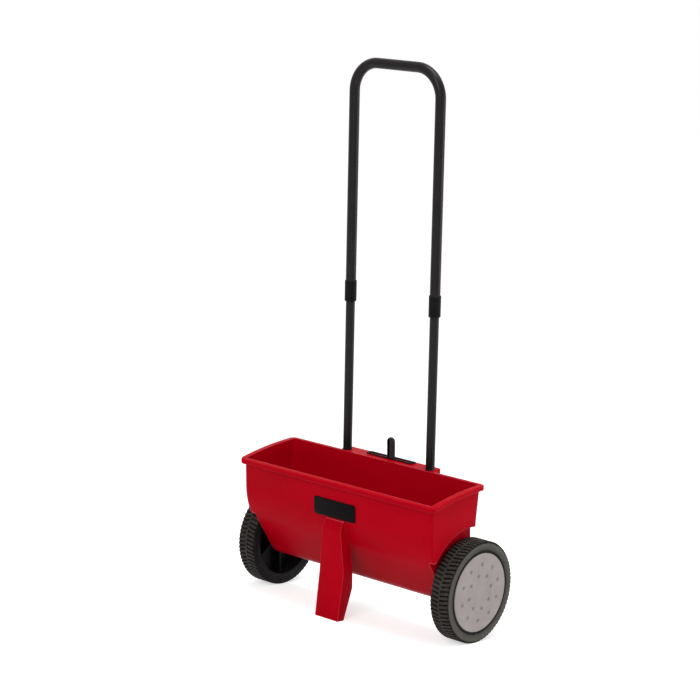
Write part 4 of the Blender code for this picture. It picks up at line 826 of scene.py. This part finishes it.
def hooks_and_boss():
    shapes = []
    for place in HOOK_PLACES:
        for x in (-place, place):
            for side in (-1, 1):
                shapes.append(slab(hook_outline(side), x - HOOK_WIDTH / 2, x + HOOK_WIDTH / 2, ALONG_X))
    root = (0.0, BACK_KNEE - WALL, LEVER_PIVOT_HEIGHT)
    end = (0.0, LEVER_Y - LEVER_THICKNESS / 2 - GAP, LEVER_PIVOT_HEIGHT)
    shapes.append(cylinder(root, end, LEVER_BOSS_ROOT_RADIUS, HUB_SIDES, LEVER_BOSS_RADIUS))
    return join(shapes)


def guide_slot_half():
    """Half the slot's length, for the lever at the end of its swing."""
    rise = RIM_BACK_HEIGHT + GAP + GUIDE_THICKNESS - LEVER_PIVOT_HEIGHT
    return rise * tan(LEVER_SWING) + LEVER_WIDTH / 2 / cos(LEVER_SWING) + GUIDE_SLOT_MARGIN


def slot_openings():
    """The outlet slots and the lever's slot in the shelf."""
    shapes = []
    for index in range(SLOT_COUNT):
        x = (index - (SLOT_COUNT - 1) / 2) * SLOT_PITCH
        shapes.append(box((x - SLOT_WIDTH / 2, SLOT_FRONT, -TROUGH_DEPTH - WALL),
                          (x + SLOT_WIDTH / 2, SLOT_BACK, -TROUGH_DEPTH + WALL * 2)))
    half = guide_slot_half()
    shapes.append(box((-half, LEVER_Y - LEVER_THICKNESS / 2 - GAP * 3, RIM_BACK_HEIGHT - RIM_LIP_DEPTH),
                      (half, LEVER_Y + LEVER_THICKNESS / 2 + GAP * 3, RIM_BACK_HEIGHT + RIM_PLATE)))
    return join(shapes)


def handle_bolt_hole(x, half_width):
    middle = handle_point(x, HANDLE_BOLT_HEIGHT)
    reach = Vector((half_width * HOLE_OVERRUN, 0.0, 0.0))
    return cylinder(middle - reach, middle + reach, HANDLE_BOLT_RADIUS + GAP)


def guide_screw_hole(side, low, high):
    x = side * (GUIDE_HALF_LENGTH - GUIDE_SCREW_INSET)
    y = (GUIDE_FRONT + GUIDE_BACK) / 2
    return cylinder((x, y, low), (x, y, high), GUIDE_SCREW_RADIUS + GAP)


def round_openings():
    shapes = []
    for side in SIDES.values():
        x = side * HANDLE_HALF_WIDTH
        start = (side * (LOWER_HALF_WIDTH - WALL * 2), 0.0, 0.0)
        shapes.append(cylinder(start, (side * (LOWER_HALF_WIDTH + WALL), 0.0, 0.0), BUSH_RADIUS + GAP))
        bottom = handle_point(x, SOCKET_BOTTOM + SOCKET_FLOOR)
        top = handle_point(x, RIM_BACK_HEIGHT + RIM_PLATE)
        shapes.append(cylinder(bottom, top, LOWER_TUBE_RADIUS + GAP, TUBE_SIDES))
        shapes.append(handle_bolt_hole(x, SOCKET_HALF_WIDTH))
        shapes.append(stand_screw_hole(side))
        shapes.append(guide_screw_hole(side, RIM_BACK_HEIGHT - RIM_LIP_DEPTH, RIM_BACK_HEIGHT + RIM_PLATE))
    mouth = (0.0, LEVER_Y - LEVER_THICKNESS / 2, LEVER_PIVOT_HEIGHT)
    bottom = (0.0, LEVER_Y - LEVER_THICKNESS / 2 - PIVOT_DEPTH, LEVER_PIVOT_HEIGHT)
    shapes.append(cylinder(bottom, mouth, PIVOT_RADIUS + GAP))
    return join(shapes)


def dress_hopper():
    outside = combined(trough_shape(0.0), ("DIFFERENCE", rim_band(RIM_PLATE / 2, FAR)))
    mesh = combined(outside, ("UNION", rim_tray()), ("UNION", shelf_tray()), ("UNION", sockets()),
                    ("UNION", hooks_and_boss()), ("DIFFERENCE", trough_shape(WALL)),
                    ("DIFFERENCE", slot_openings()), ("DIFFERENCE", round_openings()))
    stand_in("hopper", mesh)


# Stand and plate.

def stand_screw_hole(side):
    """A hole through the front curve's middle and the stand's back wall."""
    centre = Vector((side * STAND_SCREW_X, -HOPPER_FRONT + FRONT_CURVE_RADIUS,
                     front_knee_height() + FRONT_CURVE_RADIUS * tan(FRONT_SLOPE / 2)))
    out = Vector((0.0, -cos(FRONT_SLOPE / 2), -sin(FRONT_SLOPE / 2)))
    start = centre + out * (FRONT_CURVE_RADIUS - WALL * 2)
    return cylinder(start, centre + out * (FRONT_CURVE_RADIUS + STAND_WALL * 2), STAND_SCREW_RADIUS + GAP)


def stand_top():
    return PLATE_HEIGHT - PLATE_HALF_HEIGHT - STAND_PLATE_MARGIN


def stand_corners():
    """The stand's side outline, as (y, z, radius). Its sole lies flat on the ground."""
    heel = -STAND_TOE_REACH + STAND_FOOT_DEPTH
    heel_height = (-WHEEL_RADIUS - heel * sin(PARK_TILT)) / cos(PARK_TILT)
    return [(-STAND_TOE_REACH, -STAND_TOE_DROP, 0.0),
            (heel, heel_height, 0.0),
            (-STAND_BACK, -STAND_KNEE_DROP, STAND_KNEE_RADIUS),
            (-STAND_BACK, stand_top(), 0.0),
            (-HOPPER_FRONT, stand_top(), 0.0),
            (-STAND_FRONT, stand_top() - STAND_SHOULDER_LENGTH, STAND_SHOULDER_RADIUS),
            (-STAND_FRONT, STAND_BEND, STAND_BEND_RADIUS)]


def stand_face_slab(distance):
    """The stand as seen from the front, drawn in by the distance."""
    right = [(STAND_FOOT_HALF_WIDTH, -FAR / 2, 0.0), (STAND_FOOT_HALF_WIDTH, -WHEEL_RADIUS, 0.0),
             (STAND_HALF_WIDTH, STAND_BEND, STAND_SIDE_RADIUS), (STAND_TOP_HALF_WIDTH, stand_top(), 0.0)]
    left = [(-x, z, radius) for x, z, radius in reversed(right)]
    return slab(rounded(inset(right + left, distance)), -FAR, 0.0, ALONG_Y)


def stand_hollow():
    """The channel behind the stand's front and sides, above its sole."""
    corners = inset(stand_corners(), STAND_WALL)
    toe, heel = corners[:2]
    top = corners[3]
    behind = -STAND_BACK + STAND_FOOT_DEPTH
    rise = STAND_SOLE - STAND_WALL
    slope = (heel[1] - toe[1]) / (heel[0] - toe[0])
    outline = [(toe[0], toe[1] + rise, 0.0), (behind, toe[1] + rise + (behind - toe[0]) * slope, 0.0),
               (behind, top[1], 0.0)] + corners[4:]
    hollow = slab(rounded(outline), -STAND_HALF_WIDTH * 2, STAND_HALF_WIDTH * 2, ALONG_X)
    return combined(hollow, ("INTERSECT", stand_face_slab(STAND_WALL)),
                    ("DIFFERENCE", section_slab(-GAP - STAND_WALL, STAND_HALF_WIDTH * 4)))


def dress_stand():
    body = slab(rounded(stand_corners()), -STAND_HALF_WIDTH * 2, STAND_HALF_WIDTH * 2, ALONG_X)
    body = bevelled(combined(body, ("INTERSECT", stand_face_slab(0.0))), STAND_EDGE_RADIUS, 5,
                   SQUARE_ANGLE)
    holes = join([stand_screw_hole(side) for side in SIDES.values()])
    mesh = combined(body, ("DIFFERENCE", section_slab(-GAP, STAND_HALF_WIDTH * 4)),
                    ("DIFFERENCE", stand_hollow()), ("DIFFERENCE", holes))
    stand_in("parking_stand", mesh)


def dress_plate():
    outline = rounded(rectangle(-PLATE_HALF_LENGTH, PLATE_HALF_LENGTH, PLATE_HEIGHT - PLATE_HALF_HEIGHT,
                                PLATE_HEIGHT + PLATE_HALF_HEIGHT, PLATE_CORNER_RADIUS))
    mesh = slab(outline, -HOPPER_FRONT - PLATE_THICKNESS * 3, -HOPPER_FRONT / 2, ALONG_Y)
    mesh = combined(mesh, ("INTERSECT", section_slab(-GAP - PLATE_THICKNESS, PLATE_HALF_LENGTH * 2)),
                    ("DIFFERENCE", section_slab(-GAP, PLATE_HALF_LENGTH * 2)))
    stand_in("name_plate", bevelled(mesh, PLATE_EDGE, 3, SQUARE_ANGLE), PLATE_FILM)


# Lever and its guide.

def dress_lever():
    tip = LEVER_TIP_WIDTH / 2
    waist = LEVER_WAIST / 2
    wide = LEVER_WIDTH / 2
    low = -TROUGH_DEPTH - GAP - SLIDE_THICKNESS - LEVER_TIP_REACH
    right = [(tip, low, LEVER_TIP_RADIUS), (tip, LEVER_PIVOT_HEIGHT - LEVER_HUB_RADIUS, 0.0),
             (waist, LEVER_PIVOT_HEIGHT, 0.0), (waist, LEVER_WIDE_FROM, LEVER_WAIST_RADIUS),
             (wide, LEVER_WIDE_FROM + LEVER_WIDTH, LEVER_WAIST_RADIUS),
             (wide, LEVER_TOP, wide * LEVER_TOP_ROUNDING)]
    left = [(-x, z, radius) for x, z, radius in reversed(right)]
    front = LEVER_Y - LEVER_THICKNESS / 2
    back = LEVER_Y + LEVER_THICKNESS / 2
    blade = bevelled(slab(rounded(right + left), front, back, ALONG_Y), LEVER_EDGE, 4, SQUARE_ANGLE)
    hub = cylinder((0.0, front, LEVER_PIVOT_HEIGHT), (0.0, back, LEVER_PIVOT_HEIGHT), LEVER_HUB_RADIUS,
                   HUB_SIDES)
    bore = cylinder((0.0, front - WALL, LEVER_PIVOT_HEIGHT), (0.0, back + WALL, LEVER_PIVOT_HEIGHT),
                    PIVOT_RADIUS + GAP)
    stand_in("dosing_lever", combined(blade, ("UNION", hub), ("DIFFERENCE", bore)), LEVER_PAINTED_LIGHT_PLASTIC)


def dress_guide():
    low = RIM_BACK_HEIGHT + GAP
    high = low + GUIDE_THICKNESS
    plan = rectangle(-GUIDE_HALF_LENGTH, GUIDE_HALF_LENGTH, GUIDE_FRONT, GUIDE_BACK, GUIDE_CORNER_RADIUS)
    half = guide_slot_half()
    front = LEVER_Y - LEVER_THICKNESS / 2 - GAP * 2
    back = LEVER_Y + LEVER_THICKNESS / 2 + GAP * 2
    shapes = [box((-half, front, low - WALL), (half, back, high + WALL))]
    shapes += [guide_screw_hole(side, low - WALL, high + WALL) for side in SIDES.values()]
    plate = bevelled(slab(rounded(plan), low, high, ALONG_Z), GUIDE_EDGE, 3, SQUARE_ANGLE)
    stand_in("lever_guide", combined(plate, ("DIFFERENCE", join(shapes))))


# Wheels. A wheel's own frame has its origin on its outer face and its axis pointing outward.

def wheel_place(side):
    """Turns a wheel's own frame into its place on the machine."""
    turn = Vector((side, 0.0, 0.0)).to_track_quat("Z", "Y").to_matrix().to_4x4()
    return MACHINE @ Matrix.Translation((side * TRACK_HALF, 0.0, 0.0)) @ turn


def stand_in_pair(kind, mesh):
    """The same finer piece on both wheels."""
    for name, side in SIDES.items():
        stand_in(kind + name, mesh.copy(), place=wheel_place(side))


def around(count, phase, make):
    return join([make(phase + index * 2 * pi / count) for index in range(count)])


def tyre_profile():
    """Outer side of the tyre with a rounded bead, bulging sidewall and rounded shoulders, then its inside."""
    inner = TYRE_INNER_RADIUS
    outer = WHEEL_RADIUS
    low = inner + TYRE_BEAD
    high = outer - TYRE_SHOULDER
    bead = arc_points((low, -TYRE_BEAD - TYRE_BULGE), TYRE_BEAD, pi, pi / 2)
    shares = [step / SIDEWALL_STEPS for step in range(1, SIDEWALL_STEPS)]
    sidewall = [(low + (high - low) * share, -TYRE_BULGE * (1 - 2 * share) ** 2) for share in shares]
    shoulder = arc_points((high, -TYRE_SHOULDER - TYRE_BULGE), TYRE_SHOULDER, pi / 2, 0.0)
    near = bead + sidewall + shoulder
    far = [(radius, -WHEEL_WIDTH - height) for radius, height in reversed(near)]
    cavity = outer - TYRE_TREAD_THICKNESS
    hollow = [(inner, TYRE_WALL - WHEEL_WIDTH), (cavity, TYRE_WALL - WHEEL_WIDTH), (cavity, -TYRE_WALL),
              (inner, -TYRE_WALL)]
    return near + far + hollow


def tread_groove(row, index):
    """One cross groove, open at its shoulder. The rows lie half a pitch apart and slant opposite ways."""
    length = (WHEEL_WIDTH - TREAD_BAND) / 2 + TREAD_OVERRUN
    size = Vector((TREAD_DEPTH * 2, TREAD_GROOVE_WIDTH, length)) / 2
    sign = 1 - 2 * row
    middle = -WHEEL_WIDTH / 2 + sign * (TREAD_BAND / 2 + length / 2)
    groove = box(-size, size)
    groove.transform(Matrix.Rotation(sign * TREAD_SKEW, 4, "X"))
    groove.transform(Matrix.Translation((WHEEL_RADIUS, 0.0, middle)))
    groove.transform(Matrix.Rotation((index + row / 2) * 2 * pi / TREAD_PITCHES, 4, "Z"))
    return groove


def dress_tyres():
    grooves = join([tread_groove(row, index) for row in (0, 1) for index in range(TREAD_PITCHES)])
    mesh = combined(turned(tyre_profile(), TYRE_SIDES), ("DIFFERENCE", grooves))
    stand_in_pair("tyre_", mesh)


def rim_profile():
    rim = TYRE_INNER_RADIUS - GAP
    barrel = rim - WHEEL_RIM_WALL
    lip = WHEEL_RIM_LIP
    web = -WHEEL_WEB_DEPTH
    web_back = web - WHEEL_WEB_THICKNESS
    edge = WHEEL_RIM_EDGE
    end = lip - WHEEL_WIDTH
    return [(rim - edge, -lip), (rim, -lip - edge), (rim, end + edge), (rim - edge, end), (barrel, end),
            (barrel, web_back), (HUB_RADIUS, web_back), (HUB_RADIUS, -HUB_END_DEPTH),
            (AXLE_BORE_RADIUS, -HUB_END_DEPTH), (AXLE_BORE_RADIUS, -HUB_RECESS_DEPTH),
            (HUB_RECESS_RADIUS, -HUB_RECESS_DEPTH), (HUB_RECESS_RADIUS, web), (CAP_RADIUS + GAP, web),
            (CAP_RADIUS + GAP, -lip)]


def rim_rib(angle):
    start = (HUB_RADIUS + HUB_RECESS_RADIUS) / 2
    end = TYRE_INNER_RADIUS - GAP - WHEEL_RIM_WALL / 2
    high = -WHEEL_WEB_DEPTH - WHEEL_WEB_THICKNESS / 2
    low = -WHEEL_WEB_DEPTH - WHEEL_WEB_THICKNESS - WHEEL_RIB_DEPTH
    rib = box((start, -WHEEL_RIB_THICKNESS / 2, low), (end, WHEEL_RIB_THICKNESS / 2, high))
    rib.transform(Matrix.Rotation(angle, 4, "Z"))
    return rib


def dress_rims():
    half = DRIVE_PIN_RADIUS + GAP
    reach = DRIVE_PIN_LENGTH / 2 + GAP
    slot = box((-half, -reach, -HUB_RECESS_DEPTH - DRIVE_PIN_RADIUS * 2 - GAP * 2), (half, reach, 0.0))
    ribs = around(WHEEL_RIBS, pi / WHEEL_RIBS, rim_rib)
    mesh = combined(turned(rim_profile(), ROUND_SIDES), ("UNION", ribs), ("DIFFERENCE", slot))
    stand_in_pair("wheel_rim_", mesh)


def dent_centres():
    centres = []
    for count, circle, phase in ((OUTER_DENTS, OUTER_DENT_CIRCLE, OUTER_DENT_PHASE),
                                 (INNER_DENTS, INNER_DENT_CIRCLE, INNER_DENT_PHASE)):
        for index in range(count):
            angle = phase + index * 2 * pi / count
            centres.append((circle * cos(angle), circle * sin(angle)))
    return centres


def cap_profile():
    edge = CAP_EDGE
    radius = CAP_RADIUS
    face = [(radius - edge) * ring / CAP_RINGS for ring in range(CAP_RINGS)]
    spigot = CAP_SPIGOT_RADIUS
    end = -CAP_THICKNESS - CAP_SPIGOT_LENGTH
    inner = spigot - CAP_SPIGOT_WALL
    return ([(ring, 0.0) for ring in face] + arc_points((radius - edge, -edge), edge, pi / 2, 0.0)
            + [(radius, -CAP_THICKNESS), (spigot, -CAP_THICKNESS), (spigot, end), (inner, end),
               (inner, -CAP_THICKNESS), (0.0, -CAP_THICKNESS)])


def dent_depth(x, y, centres):
    """Depth of the cap's face at a point: round dents with soft brims."""
    distance = min(hypot(x - u, y - v) for u, v in centres)
    if distance >= DENT_RADIUS:
        return 0.0
    return DENT_DEPTH * (1 + cos(pi * distance / DENT_RADIUS)) / 2


def dress_caps():
    mesh = turned(cap_profile(), ROUND_SIDES * 2, closed=False)
    centres = dent_centres()
    for vertex in mesh.vertices:
        if vertex.co.z > -CAP_EDGE / 10:
            vertex.co.z -= dent_depth(vertex.co.x, vertex.co.y, centres)
    stand_in_pair("hub_cap_", mesh)


# Handle.

def tube_mesh(points, radius, wall):
    curve = bpy.data.curves.new("route", "CURVE")
    curve.dimensions = "3D"
    curve.bevel_depth = radius
    curve.bevel_resolution = TUBE_SIDES // 2 - 2
    spline = curve.splines.new("POLY")
    spline.points.add(len(points) - 1)
    for point, place in zip(spline.points, points):
        point.co = (*place, 1.0)
    bm = bmesh.new()
    bm.from_mesh(settled(work_object(curve)))
    bmesh.ops.remove_doubles(bm, verts=bm.verts, dist=SAME_PLACE)
    bmesh.ops.recalc_face_normals(bm, faces=bm.faces)
    obj = work_object(to_mesh(bm))
    modifier = obj.modifiers.new("wall", "SOLIDIFY")
    modifier.thickness = wall
    modifier.offset = -1.0
    modifier.use_even_offset = True
    return settled(obj)


def upper_route():
    bend = HANDLE_BEND_RADIUS
    right = (HANDLE_HALF_WIDTH - bend, HANDLE_TOP - bend)
    flat = [(HANDLE_HALF_WIDTH, UPPER_TUBE_BOTTOM)]
    flat += arc_points(right, bend, 0.0, pi / 2)
    flat += arc_points((-right[0], right[1]), bend, pi / 2, pi)
    flat += [(-HANDLE_HALF_WIDTH, UPPER_TUBE_BOTTOM)]
    return [handle_point(x, height) for x, height in flat]


def joint_screw_hole(side):
    middle = handle_point(side * HANDLE_HALF_WIDTH, JOINT_SCREW_HEIGHT)
    reach = Vector((0.0, SLEEVE_RADIUS * HOLE_OVERRUN, 0.0))
    return cylinder(middle, middle + reach, JOINT_SCREW_RADIUS + GAP)


def dress_handle():
    holes = join([joint_screw_hole(side) for side in SIDES.values()])
    upper = tube_mesh(upper_route(), UPPER_TUBE_RADIUS, UPPER_TUBE_WALL)
    stand_in("upper_handle", combined(upper, ("DIFFERENCE", holes)))
    for name, side in SIDES.items():
        x = side * HANDLE_HALF_WIDTH
        low = handle_point(x, SOCKET_BOTTOM + SOCKET_FLOOR + GAP)
        tube = tube_mesh([low, handle_point(x, LOWER_TUBE_TOP)], LOWER_TUBE_RADIUS, LOWER_TUBE_WALL)
        holes = join([handle_bolt_hole(x, LOWER_TUBE_RADIUS), joint_screw_hole(side)])
        stand_in("lower_tube_" + name, combined(tube, ("DIFFERENCE", holes)))


def dress_sleeves():
    stretch = sqrt(1 + HANDLE_LEAN ** 2)
    half = (SLEEVE_TOP - SLEEVE_BOTTOM) / 2 * stretch
    middle = (SLEEVE_TOP + SLEEVE_BOTTOM) / 2
    step = (UPPER_TUBE_BOTTOM - middle) * stretch - GAP
    narrow = LOWER_TUBE_RADIUS + GAP
    wide = UPPER_TUBE_RADIUS + GAP
    edge = SLEEVE_EDGE
    top = arc_points((SLEEVE_RADIUS - edge, half - edge), edge, pi / 2, 0.0)
    bottom = [(radius, -height) for radius, height in reversed(top)]
    profile = top + bottom + [(narrow, -half), (narrow, step), (wide, step), (wide, half)]
    turn = Vector((0.0, HANDLE_LEAN, 1.0)).to_track_quat("Z", "Y").to_matrix().to_4x4()
    for name, side in SIDES.items():
        mesh = turned(profile, HUB_SIDES)
        mesh.transform(Matrix.Translation(handle_point(side * HANDLE_HALF_WIDTH, middle)) @ turn)
        stand_in("joint_sleeve_" + name, combined(mesh, ("DIFFERENCE", joint_screw_hole(side))))


# Floor, light and camera.

def background_strength(tree, low, high):
    """High for the rays that look at the background, straight, mirrored or through something, else low."""
    path = add_node(tree, "LightPath").outputs
    direct = add_node(tree, "Math", {0: path["Is Camera Ray"], 1: path["Is Glossy Ray"]}, operation="MAXIMUM")
    inputs = {0: direct.outputs["Value"], 1: path["Is Transmission Ray"]}
    seen = add_node(tree, "Math", inputs, operation="MAXIMUM").outputs["Value"]
    return add_node(tree, "MapRange", {"Value": seen, "To Min": low, "To Max": high}).outputs["Result"]


def floor():
    """A pale floor that runs out to white and keeps the object's shadow."""
    mesh = box((-FLOOR_REACH, -FLOOR_REACH, -FLOOR_THICKNESS), (FLOOR_REACH, FLOOR_REACH, 0.0))
    obj = bpy.data.objects.new("floor", mesh)
    bpy.context.scene.collection.objects.link(obj)
    material = bpy.data.materials.new("floor")
    material.use_nodes = True
    tree = material.node_tree
    tree.nodes.clear()
    lit = add_node(tree, "BsdfDiffuse", {"Color": (FLOOR_COLOUR, FLOOR_COLOUR, FLOOR_COLOUR, 1.0)})
    glow = add_node(tree, "Emission", {"Strength": background_strength(tree, 0.0, FLOOR_GLOW)})
    total = add_node(tree, "AddShader", {0: lit.outputs["BSDF"], 1: glow.outputs["Emission"]})
    add_node(tree, "OutputMaterial", {"Surface": total.outputs["Shader"]})
    mesh.materials.append(material)


def world():
    """Soft even light, seen as white."""
    sky = bpy.data.worlds.new("studio")
    sky.use_nodes = True
    bpy.context.scene.world = sky
    tree = sky.node_tree
    background = tree.nodes["Background"]
    background.inputs["Color"].default_value = (1.0, 1.0, 1.0, 1.0)
    tree.links.new(background_strength(tree, SKY_LIGHT, 1.0), background.inputs["Strength"])


def area_light(name, place, target, size, power):
    data = bpy.data.lights.new(name, "AREA")
    data.shape = "RECTANGLE"
    data.size = size[0]
    data.size_y = size[1]
    data.energy = power
    obj = bpy.data.objects.new(name, data)
    obj.location = place
    obj.rotation_euler = (Vector(target) - Vector(place)).to_track_quat("-Z", "Y").to_euler()
    bpy.context.scene.collection.objects.link(obj)


def lights():
    for lamp in LAMPS:
        area_light(*lamp)


def camera():
    """The photograph's view. It was fitted with the handle upright, so it tips with the machine."""
    level = Vector((-sin(CAMERA_AZIMUTH), cos(CAMERA_AZIMUTH), 0.0))
    forward = level * cos(CAMERA_ELEVATION) - Vector((0.0, 0.0, sin(CAMERA_ELEVATION)))
    right = Vector((cos(CAMERA_AZIMUTH), sin(CAMERA_AZIMUTH), 0.0))
    up = right.cross(forward)
    turn = Matrix((right, up, -forward)).transposed().to_4x4()
    data = bpy.data.cameras.new("camera")
    data.sensor_width = SENSOR_MM
    data.lens = SENSOR_MM * FOCAL_PIXELS / PHOTO_PIXELS
    data.clip_end = CLIP_END
    obj = bpy.data.objects.new("camera", data)
    obj.matrix_world = MACHINE @ Matrix.Translation(CAMERA_PLACE) @ turn
    bpy.context.scene.collection.objects.link(obj)
    bpy.context.scene.camera = obj


dress_nodes()
dress_hopper()
dress_stand()
dress_plate()
dress_lever()
dress_guide()
dress_tyres()
dress_rims()
dress_caps()
dress_handle()
dress_sleeves()
floor()
world()
lights()
camera()
bpy.context.scene.view_settings.view_transform = "Standard"
